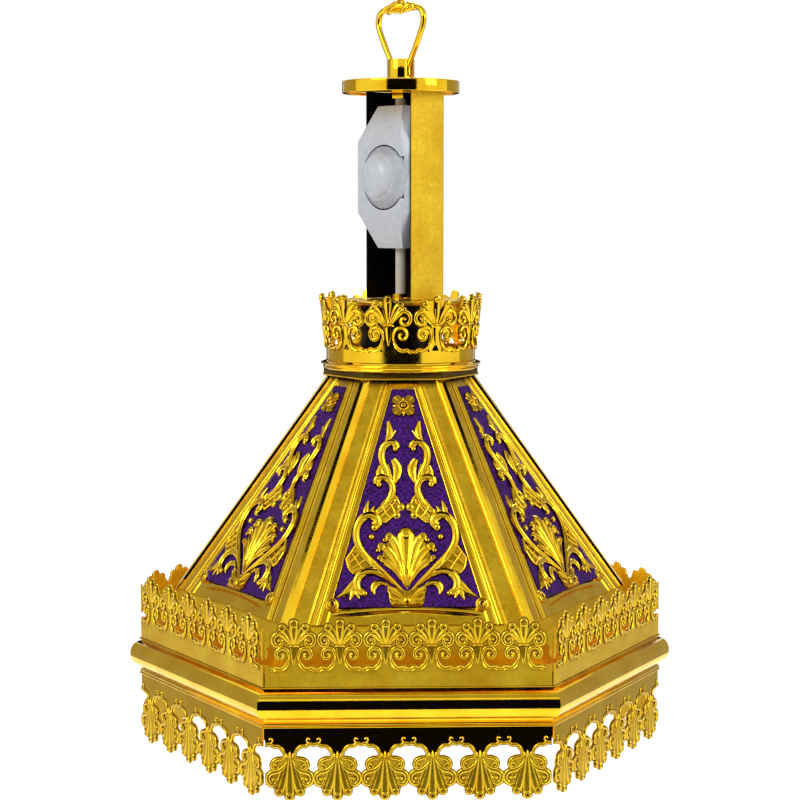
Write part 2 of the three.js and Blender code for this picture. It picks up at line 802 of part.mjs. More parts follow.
function ornamentGeometries() {
  const mirrored = middleLeaves.map(({ outline, height }) => {
    return { outline: [...outline, ...outline.map(([x, down]) => [-x, down])], height };
  });
  const halves = [-1, 1].flatMap((side) => [
    ...scrolls.map((scroll) => scrollGeometry(scroll, side)),
    ...leaves.map((leaf) => leafGeometry(leaf, side)),
  ]);
  return [...halves, ...mirrored.map((leaf) => leafGeometry(leaf, 1))];
}

// A folded strip over each corner with a round bead on its ridge. Its section is drawn level, with the
// corner's direction along X.
function trimGeometry() {
  const foldX = Math.cos(Math.PI / 3);
  const foldY = Math.sin(Math.PI / 3);
  const levelSheet = plateSheet / Math.cos(faceTilt);
  const section = (z) => {
    const corner = cornerAt(z);
    const wide = wingAt((shadeTopZ - z) / Math.cos(faceTilt));
    const half = [];
    for (const angle of [0, 40, 80]) {
      const turn = THREE.MathUtils.degToRad(angle);
      half.push([corner - 0.4 + 1.7 * Math.cos(turn), 1.7 * Math.sin(turn)]);
    }
    half.push([corner - foldX * 2.4, foldY * 2.4], [corner - foldX * wide, foldY * wide]);
    const innerX = corner - foldX * wide - levelSheet * foldY;
    const innerY = foldY * wide - levelSheet * foldX;
    half.push([innerX, innerY]);
    const lower = half.slice(1).reverse().map(([x, y]) => [x, -y]);
    const fold = [[corner - levelSheet * cornerRatio, 0]];
    return [...half, ...fold, ...lower].map(([x, y]) => new THREE.Vector3(x, y, z));
  };
  return loft(section(zAtSlope(-1)), section(zAtSlope(plateLength)));
}

addMesh(group, "shade_cap_plate", capPlateGeometry(), darkMetal);
addMesh(group, "shade_shell", shellGeometry(), gold);

const plate = facePlateGeometry();
const panel = panelGeometry();
const trim = trimGeometry();

// Base band with its half-round roll

function bandGeometry() {
  const inner = bandFace - stripSheet - gap;
  const middle = (rollTopZ + rollBottomZ) / 2;
  const tall = (rollTopZ - rollBottomZ) / 2;
  const rollPoints = (start, depth, height) => {
    const points = [];
    const steps = 7;
    for (let i = 0; i <= steps; i += 1) {
      const angle = -Math.PI / 2 + (i * Math.PI) / steps;
      points.push([start + depth * Math.cos(angle), middle + height * Math.sin(angle)]);
    }
    return points;
  };
  const ledge = bandFace + 0.8;
  const outerRoll = rollPoints(bandFace - 0.4, rollApothem - bandFace + 0.4, tall);
  const innerRoll = rollPoints(bandFace - 1.6, rollApothem - bandFace + 0.4, tall - 1.2).reverse();
  return sixSided([
    [inner - 1.2, bandBottomZ - 7],
    [inner, bandBottomZ - 7],
    [inner, bandBottomZ],
    [ledge, bandBottomZ],
    [ledge, rollBottomZ - 1.6],
    ...outerRoll,
    [ledge, rollTopZ + 1],
    [ledge, bandTopZ],
    [inner, bandTopZ],
    [inner, bandTopZ + 7.6],
    [inner - 1.2, bandTopZ + 7.6],
    [inner - 1.2, bandTopZ - 1.2],
    ...innerRoll,
    [inner - 1.2, bandBottomZ + 1.2],
  ]);
}

function stripPlace(x, z, depth) {
  return [x, -bandFace + (1 - depth) * stripSheet, z];
}

function galleryGeometry() {
  const bottomZ = bandTopZ + gap;
  const half = galleryHalf(galleryPitch, galleryOpeningZ, galleryTipZ, bottomZ);
  const lace = pierced(repeatedCells(half, galleryUnits, galleryPitch), stripPlace);
  const foot = box([-stripHalf, -bandFace, bottomZ], [stripHalf, -bandFace + stripSheet, galleryOpeningZ]);
  return join(lace, foot);
}

function fringeGeometry() {
  const half = fringeHalf(fringePitch, fringeTipZ, fringeArchZ, fringeTopZ);
  const lace = pierced(repeatedCells(half, galleryUnits, fringePitch), stripPlace);
  const head = box([-stripHalf, -bandFace, fringeArchZ], [stripHalf, -bandFace + stripSheet, fringeTopZ]);
  return join(lace, head);
}

addMesh(group, "base_band", bandGeometry(), gold);

const gallery = galleryGeometry();
const fringe = fringeGeometry();

// One of each on all six sides, numbered from the front anticlockwise seen from above

for (let i = 0; i < sides; i += 1) {
  const side = new THREE.Group();
  side.rotation.z = (i * 2 * Math.PI) / sides;
  const slope = new THREE.Group();
  slope.rotation.x = Math.PI / 2 - faceTilt;
  slope.position.set(0, -topApothem, shadeTopZ);
  const corner = new THREE.Group();
  corner.rotation.z = -Math.PI / 2 + Math.PI / sides;
  side.add(slope, corner);
  group.add(side);
  addMesh(slope, `face_plate_${i + 1}`, plate, mattGold);
  addMesh(slope, `face_panel_${i + 1}`, panel, purple);
  addMesh(corner, `corner_trim_${i + 1}`, trim, gold);
  addMesh(side, `gallery_${i + 1}`, gallery, gold);
  addMesh(side, `fringe_${i + 1}`, fringe, gold);
}

// Lampholder and bulb, hidden inside the shade

const holderCap = [
  [tubeRadius + gap, -237.6],
  [8, -237.6],
  [17.6, -246.8],
  [17.6, -252],
  [19, -252],
  [19, -246],
  [9, -236],
  [8.5, -229],
  [tubeRadius + gap, -229],
];
const holderBody = [
  [2, -255],
  [14.2, -255],
  [14.2, -286],
  [19.5, -286],
  [20.5, -270],
  [20.5, -262],
  [19, -262],
  [19, -252.3],
  [2, -252.3],
];
const holderRing = [
  [20.8, -269],
  [24.5, -269],
  [24.5, -263],
  [20.8, -263],
];
const bulbCap = [
  [0, -284],
  [13.2, -284],
  [13.2, -260],
  [6, -257.5],
  [0, -257],
];
const bulbGlass = [
  [0, -375],
  [11, -373],
  [21, -366.5],
  [28, -356.5],
  [30, -345],
  [29, -335],
  [22, -318],
  [14.5, -292],
  [13.4, -284.3],
  [0, -284.3],
];
addMesh(group, "lampholder_cap", turned(holderCap, 16), blackPlastic);
addMesh(group, "lampholder_body", turned(holderBody, 16), blackPlastic);
addMesh(group, "lampholder_ring", turned(holderRing, 20), blackPlastic);
addMesh(group, "bulb_cap", turned(bulbCap, 16), steel);
addMesh(group, "bulb_glass", turned(bulbGlass, 16), frosted);

export default group;
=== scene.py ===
# %% [markdown]
# A hanging reading lantern in polished brass: a six-sided shade with purple embossed panels, a pierced
# crown, galleries that stand on its base band and fringes that hang from it, under a channel neck with a
# cord dimmer. The solid model is loaded first, and every piece below is made around it in its own place.
# The lantern's sizes are written in millimetres, and turned into metres when a mesh is made. The camera,
# the studio, the noises and the values inside node trees are in metres.

# %% The frame
import math

import bmesh
import bpy
import numpy as np
from mathutils import Matrix, Vector


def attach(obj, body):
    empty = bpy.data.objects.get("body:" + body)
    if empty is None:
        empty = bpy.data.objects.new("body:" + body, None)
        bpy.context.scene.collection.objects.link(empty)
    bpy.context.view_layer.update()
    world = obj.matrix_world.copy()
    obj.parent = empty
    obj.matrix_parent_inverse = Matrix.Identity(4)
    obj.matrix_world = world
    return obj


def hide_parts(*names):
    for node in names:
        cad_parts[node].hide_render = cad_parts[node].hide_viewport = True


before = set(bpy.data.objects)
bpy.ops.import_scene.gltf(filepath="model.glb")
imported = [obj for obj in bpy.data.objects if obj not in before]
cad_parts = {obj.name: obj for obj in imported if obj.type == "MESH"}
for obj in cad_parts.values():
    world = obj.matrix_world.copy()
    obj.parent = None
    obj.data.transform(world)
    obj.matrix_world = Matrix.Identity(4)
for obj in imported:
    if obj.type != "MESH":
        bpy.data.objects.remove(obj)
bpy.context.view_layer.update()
MM = 0.001
SIDES = 6
FULL_TURN = 2 * math.pi

# %% [markdown]
# The photograph was taken a little above the middle of the lantern, from 1.2 m away, with the camera
# pitched down by about five degrees. A lens of 92 mm gives that view. The camera stands almost square to
# the front face, so the front shows flat and its two neighbours fall away at either side.

# %% Camera
camera_reach = 1.225  # metres from the lantern's axis
camera_height = -0.1177
camera_turn = math.radians(-1.827)
camera_drop = math.radians(5.226)
camera_data = bpy.data.cameras.new("camera")
camera_data.lens = 91.87
camera_data.sensor_width = 36
camera_data.shift_x = -0.00094
camera = bpy.data.objects.new("camera", camera_data)
sideways, forwards = camera_reach * math.sin(camera_turn), camera_reach * math.cos(camera_turn)
camera.location = (sideways, -forwards, camera_height)
camera.rotation_euler = (math.pi / 2 - camera_drop, 0, camera_turn)
scene = bpy.context.scene
scene.collection.objects.link(camera)
scene.camera = camera
scene.view_settings.view_transform = "Standard"

# %% [markdown]
# Node trees are written with one small function. It adds a node, sets its inputs by name or by place, and
# links any input that is given as another node's socket. A Number is such a socket that can be added and
# multiplied, so a pattern or a place in a tree reads like the sum that it is.


# %% Helpers for node trees
def add_node(tree, kind, inputs=None, **settings):
    made = tree.nodes.new(kind)
    for key, value in settings.items():
        setattr(made, key, value)
    for key, value in (inputs or {}).items():
        value = value.socket if isinstance(value, Number) else value
        if isinstance(value, bpy.types.NodeSocket):
            tree.links.new(value, made.inputs[key])
        else:
            made.inputs[key].default_value = value
    return made


def worked_out(tree, operation, *values):
    node = add_node(tree, "ShaderNodeMath", dict(enumerate(values)), operation=operation)
    return Number(tree, node.outputs[0])


class Number:
    """A number in a node tree. Sums of such numbers add the math nodes that work them out."""

    def __init__(self, tree, socket):
        self.tree = tree
        self.socket = socket

    def __add__(self, other):
        return worked_out(self.tree, "ADD", self, other)

    def __radd__(self, other):
        return worked_out(self.tree, "ADD", other, self)

    def __sub__(self, other):
        return worked_out(self.tree, "SUBTRACT", self, other)

    def __rsub__(self, other):
        return worked_out(self.tree, "SUBTRACT", other, self)

    def __mul__(self, other):
        return worked_out(self.tree, "MULTIPLY", self, other)

    def __truediv__(self, other):
        return worked_out(self.tree, "DIVIDE", self, other)

    def __rtruediv__(self, other):
        return worked_out(self.tree, "DIVIDE", other, self)


def remapped(tree, value, from_low, from_high, to_low, to_high):
    limits = {"From Min": from_low, "From Max": from_high, "To Min": to_low, "To Max": to_high}
    return add_node(tree, "ShaderNodeMapRange", {"Value": value} | limits).outputs[0]


def sees_background(tree):
    """1 for the rays that show the backdrop: from the camera, in a reflection, or through glass."""
    path = add_node(tree, "ShaderNodeLightPath").outputs
    seen = worked_out(tree, "MAXIMUM", path["Is Camera Ray"], path["Is Glossy Ray"])
    return worked_out(tree, "MAXIMUM", seen, path["Is Transmission Ray"])


def blank_tree(owner):
    owner.use_nodes = True
    owner.node_tree.nodes.clear()
    return owner.node_tree


def new_material(name):
    material = bpy.data.materials.new(name)
    return material, blank_tree(material)


def new_object(name, mesh):
    made = bpy.data.objects.new(name, mesh)
    scene.collection.objects.link(made)
    return made


# %% [markdown]
# The lantern hangs, so the pale floor lies well below it. The world is white wherever it is seen, also in
# the metal, and gives a softer, even light to everything else. Polished metal only shows what is around
# it, so a few screens stand about the lantern, as in a product studio. Black ones behind the camera and
# behind the lantern give the gold its black bands. Grey ones above and at either side keep the sloping
# sheets at a middle tone, so that beads and raised edges shine against them, and a narrow black one high
# on either side draws the dark line along the shade's corners. They only show in reflections.

# %% World, floor and lamps
world = bpy.data.worlds.new("studio")
scene.world = world
tree = blank_tree(world)
background_light = 0.66
light = remapped(tree, sees_background(tree), 0.0, 1.0, background_light, 1.0)
sky = add_node(tree, "ShaderNodeBackground", {"Color": (1, 1, 1, 1), "Strength": light})
add_node(tree, "ShaderNodeOutputWorld", {"Surface": sky.outputs[0]})


def flat_sheet(name, corners, material):
    mesh = bpy.data.meshes.new(name)
    mesh.from_pydata(corners, [], [(0, 1, 2, 3)])
    mesh.materials.append(material)
    sheet = new_object(name, mesh)
    return sheet


floor_z = -1.1
floor_half = 9
floor_corners = [(x * floor_half, y * floor_half, floor_z) for x, y in ((-1, -1), (1, -1), (1, 1), (-1, 1))]
pale_floor, tree = new_material("pale floor")
matt = add_node(tree, "ShaderNodeBsdfDiffuse", {"Color": (0.9, 0.9, 0.9, 1)})
glow = add_node(tree, "ShaderNodeEmission", {"Strength": sees_background(tree) * 0.5})
both = add_node(tree, "ShaderNodeAddShader", {0: matt.outputs[0], 1: glow.outputs[0]})
add_node(tree, "ShaderNodeOutputMaterial", {"Surface": both.outputs[0]})
flat_sheet("floor", floor_corners, pale_floor)


def screen(name, tone, facing, half_width, foot, head):
    """A card that only mirrors see. facing is its direction round the lantern, 0 in front.

    foot and head give its lower and upper edge, as a distance from the axis and a height.
    """
    material, tree = new_material(name)
    glow = add_node(tree, "ShaderNodeEmission", {"Color": (1, 0.95, 0.86, 1), "Strength": tone})
    add_node(tree, "ShaderNodeOutputMaterial", {"Surface": glow.outputs[0]})
    turn = Matrix.Rotation(math.radians(facing), 4, "Z")
    ends = [(-half_width, foot), (half_width, foot), (half_width, head), (-half_width, head)]
    sheet = flat_sheet(name, [turn @ Vector((x, -reach, z)) for x, (reach, z) in ends], material)
    sheet.visible_camera = False
    sheet.visible_diffuse = False
    sheet.visible_shadow = False
    sheet.visible_transmission = False


screen("front_screen", 0.004, 0, 0.85, (1.5, -1.09), (1.5, 0.4))
screen("rear_screen", 0.02, 180, 1.0, (2.6, -1.09), (2.6, 0.6))
screen("upper_screen", 0.45, 0, 1.0, (1.6, 1.0), (1.6, 3.7))
screen("ceiling_screen", 0.34, 0, 1.2, (0.9, 2.6), (-1.6, 2.6))
for side, label in ((-1, "m1"), (1, "1")):
    screen(f"side_screen_{label}", 0.42, side * 127, 1.15, (2.3, -1.09), (2.3, 1.5))
    screen(f"side_flag_{label}", 0.01, side * 109, 0.42, (1.9, 1.15), (1.9, 2.9))


def lamp(name, place, size, power):
    data = bpy.data.lights.new(name, "AREA")
    data.shape = "SQUARE"
    data.size = size
    data.energy = power
    made = new_object(name, data)
    made.location = place
    aim = Vector((0, 0, -0.25)) - made.location
    made.rotation_euler = aim.to_track_quat("-Z", "Y").to_euler()


lamp("left_lamp", (-1.7, -1.5, 1.1), 1.3, 24)
lamp("right_lamp", (1.9, -1.1, 0.5), 0.9, 12)
lamp("rear_lamp", (0.3, 1.9, 1.3), 1.2, 14)
print("studio:", ", ".join(light.name for light in bpy.data.lights))

# %% [markdown]
# Gold plate over brass is a metal with a deep yellow tint. Real plate is never an even mirror: its tone
# wanders, the buffing leaves it wavy, and tiny pits and dull spots break the highlights. Two noises drive
# the tone and the roughness, a slow bump bends the reflections, and the recesses between raised forms,
# marked on the meshes by an attribute called level, are painted dark: painted shade, with old polish.


# %% Gold
def object_noise(tree, scale, detail=3.0, roughness=0.5):
    place = add_node(tree, "ShaderNodeTexCoord").outputs["Object"]
    inputs = {"Vector": place, "Scale": scale, "Detail": detail, "Roughness": roughness}
    return add_node(tree, "ShaderNodeTexNoise", inputs).outputs[0]


def cloud(tree, low, high, scale, detail, roughness=0.5):
    """A noise that wanders between the two values."""
    return remapped(tree, object_noise(tree, scale, detail, roughness), 0.3, 0.7, low, high)


def mixed_colour(tree, factor, first, second, mode="MIX"):
    inputs = {0: factor, 6: first, 7: second}
    return add_node(tree, "ShaderNodeMix", inputs, data_type="RGBA", blend_type=mode).outputs[2]


def bumped(tree, height, distance, before=None):
    inputs = {"Height": height, "Distance": distance, "Strength": 1.0}
    if before is not None:
        inputs["Normal"] = before
    return add_node(tree, "ShaderNodeBump", inputs).outputs[0]


def mesh_level(tree):
    return add_node(tree, "ShaderNodeAttribute", attribute_name="level").outputs["Fac"]


def end_material(tree, colour, metallic, gloss, normal, specular=0.5, coat=0.0):
    inputs = {"Base Color": colour, "Metallic": metallic, "Roughness": gloss, "Normal": normal}
    inputs |= {"Specular IOR Level": specular, "Coat Weight": coat}
    shader = add_node(tree, "ShaderNodeBsdfPrincipled", inputs)
    add_node(tree, "ShaderNodeOutputMaterial", {"Surface": shader.outputs[0]})


deep_gold = (0.82, 0.47, 0.012, 1)
bright_gold = (0.97, 0.65, 0.03, 1)
# The dark of old polish in the pits, and the colour of the painted shade in the recesses
patina_and_shade = (0.03, 0.012, 0.002, 1)


def gold_material(name, gloss_range, wave, pits, recess_shade=0.0, grain=0.0, metal=1.0, speck_scale=900):
    """gloss_range is the least and greatest roughness, wave and pits are bump heights in metres, and the next
    value is how dark the painted shade in the recesses gets.
    """
    material, tree = new_material(name)
    colour = mixed_colour(tree, cloud(tree, 0, 1, 55, 4), deep_gold, bright_gold)
    speck = remapped(tree, object_noise(tree, speck_scale, 5, 0.7), 0.62, 0.72, 0, 0.6)
    colour = mixed_colour(tree, speck, colour, patina_and_shade)
    if grain:
        fine = remapped(tree, object_noise(tree, 420, 6, 0.75), 0.25, 0.75, 1 - grain, 1)
        colour = mixed_colour(tree, 1.0, colour, fine, "MULTIPLY")
    if recess_shade:
        # Painted shade: the lower a recess's level, the darker it is painted
        recess = remapped(tree, mesh_level(tree), 0.04, 0.5, recess_shade, 0)
        colour = mixed_colour(tree, recess, colour, patina_and_shade)
    gloss = cloud(tree, *gloss_range, 160, 5, 0.6)
    normal = bumped(tree, object_noise(tree, 70, 2), wave)
    normal = bumped(tree, object_noise(tree, 1100, 4, 0.6), pits, normal)
    end_material(tree, colour, metal, gloss, normal, specular=0.2)
    return material


polished = gold_material("polished gold", (0.03, 0.1), 0.00005, 0.000015)
carved = gold_material("carved gold", (0.08, 0.2), 0.00006, 0.00001, recess_shade=0.92)
pressed = gold_material("pressed gold", (0.1, 0.24), 0.0004, 0.000008, 0.9, grain=0.15, speck_scale=430)
cast = gold_material("cast lace gold", (0.13, 0.25), 0.0001, 0.00002, recess_shade=0.97, grain=0.25, metal=0.8)
satin = gold_material("satin gold", (0.2, 0.36), 0.0004, 0.00004, 0.9, 0.35, metal=0.85, speck_scale=430)
brushed = gold_material("brushed neck gold", (0.28, 0.42), 0.00012, 0.00005, grain=0.38, metal=0.6)
ochre = gold_material("ochre gallery gold", (0.25, 0.4), 0.0003, 0.00006, grain=0.25, metal=0.5)
shadowed = gold_material("shadowed hood gold", (0.3, 0.5), 0.0003, 0.00005, recess_shade=0.9, metal=0.8)

# %% [markdown]
# The panels are foil in deep violet, pressed with a pattern of lozenges. The pattern itself is real
# geometry, made further down, and the material adds the foil's soft gloss, painted shade in its hollows and
# a fine grain. The plastics, cables and the bulb are simpler, but none is one flat colour. The shell behind
# the galleries is painted from gold to a deep amber glow low down, a painted reflection of the gold around
# it.


# %% Violet foil, plastics, steel and glass
def violet_material():
    material, tree = new_material("violet foil")
    # Painted shade: darker in the emboss's hollows, by the pattern's level
    colour = mixed_colour(tree, mesh_level(tree), (0.014, 0.0, 0.05, 1), (0.1, 0.006, 0.27, 1))
    colour = mixed_colour(tree, 1.0, colour, cloud(tree, 0.75, 1.0, 120, 4), "MULTIPLY")
    normal = bumped(tree, object_noise(tree, 1400, 4), 0.00006)
    end_material(tree, colour, 0.35, cloud(tree, 0.42, 0.6, 500, 4), normal, specular=0.25)
    return material


def plain_material(name, first, second, roughness, metallic=0.0, coat=0.0):
    """A moulded, drawn or sprayed surface: two close tones, a little unevenness and a soft grain."""
    material, tree = new_material(name)
    tone = cloud(tree, 0, 1, 220, 5, 0.6)
    colour = mixed_colour(tree, tone, (*first, 1), (*second, 1))
    gloss = remapped(tree, tone, 0, 1, roughness * 0.85, roughness * 1.15)
    normal = bumped(tree, object_noise(tree, 220 * 9, 3), 0.00003)
    end_material(tree, colour, metallic, gloss, normal, coat=coat)
    return material


def lining_material(gold_z, glow_z):
    """The shell behind the galleries: gold down to one height, and from another down a painted amber glow,
    the reflection of the gold around it.
    """
    material, tree = new_material("warm lining")
    place = add_node(tree, "ShaderNodeTexCoord").outputs["Object"]
    height = add_node(tree, "ShaderNodeSeparateXYZ", {0: place}).outputs["Z"]
    low = remapped(tree, height, gold_z, glow_z, 0, 1)
    tone = cloud(tree, 0, 1, 45, 5, 0.6)
    gold = mixed_colour(tree, tone, (0.62, 0.4, 0.008, 1), (0.9, 0.6, 0.02, 1))
    # Painted reflection: the amber glow of the gold around the shell's foot
    painted_glow = mixed_colour(tree, tone, (0.95, 0.38, 0.0, 1), (1.0, 0.6, 0.002, 1))
    gloss = remapped(tree, tone, 0, 1, 0.34, 0.46)
    normal = bumped(tree, object_noise(tree, 400, 3), 0.00003)
    end_material(tree, mixed_colour(tree, low, gold, painted_glow), 0.6, gloss, normal, specular=0.08)
    return material


violet = violet_material()
lining = lining_material(-0.353, -0.361)
pale_plastic = plain_material("pale plastic", (0.48, 0.5, 0.54), (0.57, 0.59, 0.63), 0.36, coat=0.25)
sheath = plain_material("cable sheath", (0.5, 0.47, 0.4), (0.6, 0.57, 0.5), 0.5)
dark_metal = plain_material("blackened iron", (0.012, 0.009, 0.006), (0.03, 0.02, 0.012), 0.35, 0.9)
steel = plain_material("bright steel", (0.5, 0.5, 0.48), (0.62, 0.62, 0.6), 0.3, 1.0)
board = plain_material("circuit board", (0.01, 0.1, 0.03), (0.02, 0.16, 0.05), 0.5)
black_plastic = plain_material("black plastic", (0.01, 0.01, 0.01), (0.022, 0.021, 0.02), 0.4)
opal = plain_material("frosted glass", (0.8, 0.78, 0.72), (0.86, 0.85, 0.8), 0.3, coat=0.4)
print(len(bpy.data.materials), "materials")

# %% [markdown]
# The ornament is built up as a modeller would do it in wax: scrolls are strips that taper, leaves are
# fans of flutes, and lobes are small domes with a pit pressed in them. A part is a set of points, faces
# and levels, where the level is 0 in a recess and 1 on a crest.


# %% Wax tools: ridges, domes and pits
def smooth_line(points, steps):
    """A smooth line through the points, with that many steps between two of them."""
    points = np.asarray(points, float)
    ends = np.vstack([2 * points[0] - points[1], points, 2 * points[-1] - points[-2]])
    line = []
    for before, here, there, after in zip(ends, ends[1:], ends[2:], ends[3:]):
        for share in np.arange(steps) / steps:
            bend = 2 * before - 5 * here + 4 * there - after
            twist = 3 * here - before - 3 * there + after
            step = (there - before) * share + bend * share**2 + twist * share**3
            line.append(here + step / 2)
    line.append(points[-1])
    return np.array(line)


def spread_along(line, values):
    """One value for each point of the line, from the few that are given for its whole length."""
    return np.interp(np.linspace(0, 1, len(line)), np.linspace(0, 1, len(values)), values)


def row_faces(rows, count, closed=True):
    """The faces between rows of count points. A closed row joins its last point to its first."""
    faces = []
    for first in range(0, (rows - 1) * count, count):
        for index in range(count if closed else count - 1):
            beside = (index + 1) % count
            faces.append((first + index, first + beside, first + count + beside, first + count + index))
    return faces


def lofted(rings, levels):
    """A closed body through rings of points, with a cap at either end. Each point has its level."""
    count = len(rings[0])
    verts = np.reshape(rings, (-1, 3))
    caps = [tuple(range(count)), tuple(range(len(verts) - count, len(verts)))]
    return verts, caps + row_faces(len(rings), count), np.asarray(levels, float)


base = -0.15  # raised forms start this far inside the sheet under them
round_back = ([0, 0.55, 0.87, 1, 0.87, 0.55, 0], [0, 0.2, 0.75, 1, 0.75, 0.2, 0])
dished_back = ([0, 0.8, 1, 0.75, 0.66, 0.75, 1, 0.8, 0], [0, 0.22, 1, 0.6, 0.5, 0.6, 1, 0.22, 0])


def unit_steps(line):
    along = np.gradient(line, axis=0)
    return along / np.linalg.norm(along, axis=1)[:, None]


def ridge(points, widths, height, steps=5, back=round_back):
    """A raised line whose half width runs through the widths from its first point to its last.

    back holds the heights and the levels across it, from one foot to the other.
    """
    line = smooth_line(points, steps)
    run = np.concatenate([[0], np.cumsum(np.linalg.norm(np.diff(line, axis=0), axis=1))])
    half = np.interp(run / run[-1], np.linspace(0, 1, len(widths)), widths)
    along = unit_steps(line)
    across = np.stack([-along[:, 1], along[:, 0]], 1)
    heights, levels = back
    places = []
    for index, share in enumerate(heights):
        shift = math.cos(math.pi * index / (len(heights) - 1)) * half[:, None]
        rise = base + (height - base) * share * np.sqrt(half / max(widths))
        places.append(np.column_stack([line + across * shift, rise]))
    return lofted(np.stack(places, 1), np.tile(levels, len(line)))


def spot(centre, radius, heights, levels, segments):
    """A round form of rings that run in from the rim to a single point in the middle."""
    angles = np.arange(segments) * FULL_TURN / segments
    outline = np.column_stack([np.cos(angles), np.sin(angles)])
    rings = []
    for index, height in enumerate(heights):
        reach = radius * (1 - index / (len(heights) - 1)) ** 0.75
        rings.append(np.column_stack([centre + reach * outline, np.full(segments, height)]))
    last = (len(heights) - 1) * segments
    faces = [tuple(range(segments))] + row_faces(len(heights) - 1, segments)
    for step in range(segments):
        faces.append((last - segments + step, last - segments + (step + 1) % segments, last))
    return np.vstack(rings)[: last + 1], faces, np.repeat(levels, segments)[: last + 1]


def dome(centre, radius, height, segments=12):
    return spot(centre, radius, [base, 0.6 * height, 0.9 * height, height], [0, 0.3, 1, 1.0], segments)


def pitted_dome(centre, radius, height, segments=12):
    """A dome with a small pit pressed into its top, painted dark in the pit as shade."""
    heights = [base, 0.6 * height, 0.92 * height, height, 0.97 * height, 0.5 * height]
    return spot(centre, radius, heights, [0, 0.3, 0.9, 1, 0.3, 0], segments)


def flipped(part, axes):
    """The part with some axes turned round. An odd number of them turns its faces over too."""
    verts, faces, level = part
    return verts * axes, [tuple(reversed(face)) for face in faces], level


def both_sides(parts):
    return parts + [flipped(part, (-1, 1, 1)) for part in parts]


# %% [markdown]
# A mesh is made from its parts in one go, scaled from millimetres to metres and laid in its place by a
# matrix. Its faces are turned to point outwards, and its edges stay sharp only where they really are.


# %% From parts to a finished piece
def joined(parts):
    starts = np.cumsum([0] + [len(part[0]) for part in parts]).tolist()
    faces = [tuple(start + index for index in face) for start, part in zip(starts, parts) for face in part[1]]
    return np.vstack([part[0] for part in parts]), faces, np.concatenate([part[2] for part in parts])


def clean_mesh(mesh, merge=None):
    """Turns the faces outwards, and first joins points that lie nearer to each other than merge."""
    build = bmesh.new()
    build.from_mesh(mesh)
    if merge:
        bmesh.ops.remove_doubles(build, verts=build.verts, dist=merge)
        bmesh.ops.dissolve_degenerate(build, edges=build.edges, dist=merge / 10)
    bmesh.ops.recalc_face_normals(build, faces=build.faces)
    build.to_mesh(mesh)
    build.free()


def finish_mesh(mesh, material, sharp=38):
    mesh.shade_smooth()
    mesh.set_sharp_from_angle(angle=math.radians(sharp))
    mesh.materials.clear()
    mesh.materials.append(material)


def make_object(name, parts, material, place=Matrix.Identity(4), sharp=38, sewn=False):
    """One object of all the parts. A sewn one has its doubled points merged, so it closes at a pole."""
    verts, faces, level = joined(parts)
    mesh = bpy.data.meshes.new(name)
    mesh.from_pydata(verts.tolist(), [], faces)
    attribute = mesh.attributes.new("level", "FLOAT", "POINT")
    attribute.data.foreach_set("value", level.astype(np.float32))
    clean_mesh(mesh)
    mesh.transform(Matrix.Scale(MM, 4) @ place)
    if sewn:
        clean_mesh(mesh, 1e-6)
    finish_mesh(mesh, material, sharp)
    return new_object(name, mesh)


def second_finish(piece, material, chosen):
    """The faces that chosen says yes to take this material instead."""
    piece.data.materials.append(material)
    for face in piece.data.polygons:
        face.material_index = int(chosen(face))


def settle(piece, body, slot, *nodes):
    """The piece moves with the body and stands for those solids, which are hidden. slot is not used."""
    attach(piece, body)
    if nodes:
        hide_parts(*nodes)
    print(piece.name, len(piece.data.polygons), "faces")


def merged_copy(maker, name, material, sharp=38):
    """The evaluated mesh of a maker object, as a plain piece of its own. The maker is deleted."""
    bpy.context.view_layer.update()
    seen = maker.evaluated_get(bpy.context.evaluated_depsgraph_get())
    mesh = bpy.data.meshes.new_from_object(seen)
    mesh.name = name
    finish_mesh(mesh, material, sharp)
    bpy.data.objects.remove(maker)
    return new_object(name, mesh)


# %% [markdown]
# The shade's measures come from the frame: its corners lie on the X axis, and a face leans in by 31.8
# degrees. A face matrix takes flat coordinates, across, up the slope and outwards from the face, to the
# place of any of the six faces. A strip matrix does the same for the upright strips of the base.

# %% Where the faces and strips lie
shade_top_z = -216.6
shade_top_corner = 44.9
hip_spread = 0.7164  # corner radius gained for each millimetre of height
corner_ratio = 1 / math.cos(math.pi / SIDES)
top_apothem = shade_top_corner / corner_ratio
face_tilt = math.atan(hip_spread / corner_ratio)
lean_sin, lean_cos = math.sin(face_tilt), math.cos(face_tilt)
plate_length = 149
plate_thickness = 1.0
strip_face = 136.7  # apothem of the galleries and fringes
strip_half = 78
panel_top, panel_bottom = 4.2, 139
panel_top_half, panel_bottom_half = 6.2, 41.7
print("face leans", round(math.degrees(face_tilt), 2), "degrees")


def side_turn(side):
    return Matrix.Rotation(side * FULL_TURN / SIDES, 4, "Z")


def face_place(side):
    rows = ((1, 0, 0, 0), (0, lean_sin, -lean_cos, -top_apothem), (0, lean_cos, lean_sin, shade_top_z))
    return side_turn(side) @ Matrix((*rows, (0, 0, 0, 1)))


def upright(z, apothem=0.0):
    """Flat coordinates stood upright, with heights towards -Y."""
    return Matrix(((1, 0, 0, 0), (0, 0, -1, -apothem), (0, 1, 0, z), (0, 0, 0, 1)))


def strip_place(side, z):
    return side_turn(side) @ upright(z, strip_face)


def corner_at(down):
    return shade_top_corner + hip_spread * down * lean_cos


def wing_width(down):
    return 11.5 + 0.0145 * down


def panel_half(down):
    share = (max(down, panel_top) - panel_top) / (panel_bottom - panel_top)
    return panel_top_half + share * (panel_bottom_half - panel_top_half)


# %% [markdown]
# Galleries and fringes are pierced strips of palmettes. The sheet itself is cut first: a function says
# where there is metal, and a walk over a grid of small squares cuts every square along the edge of the
# metal, so the outline comes out smooth. The strip repeats by folding the coordinate about each stem.

# %% Cutting a pierced sheet
strip_step, crown_step = 0.66, 0.75  # the sides of the small squares
sheet_thickness = 0.8
sheet_margin = 0.6  # the grid starts this far beyond the palmettes' tips


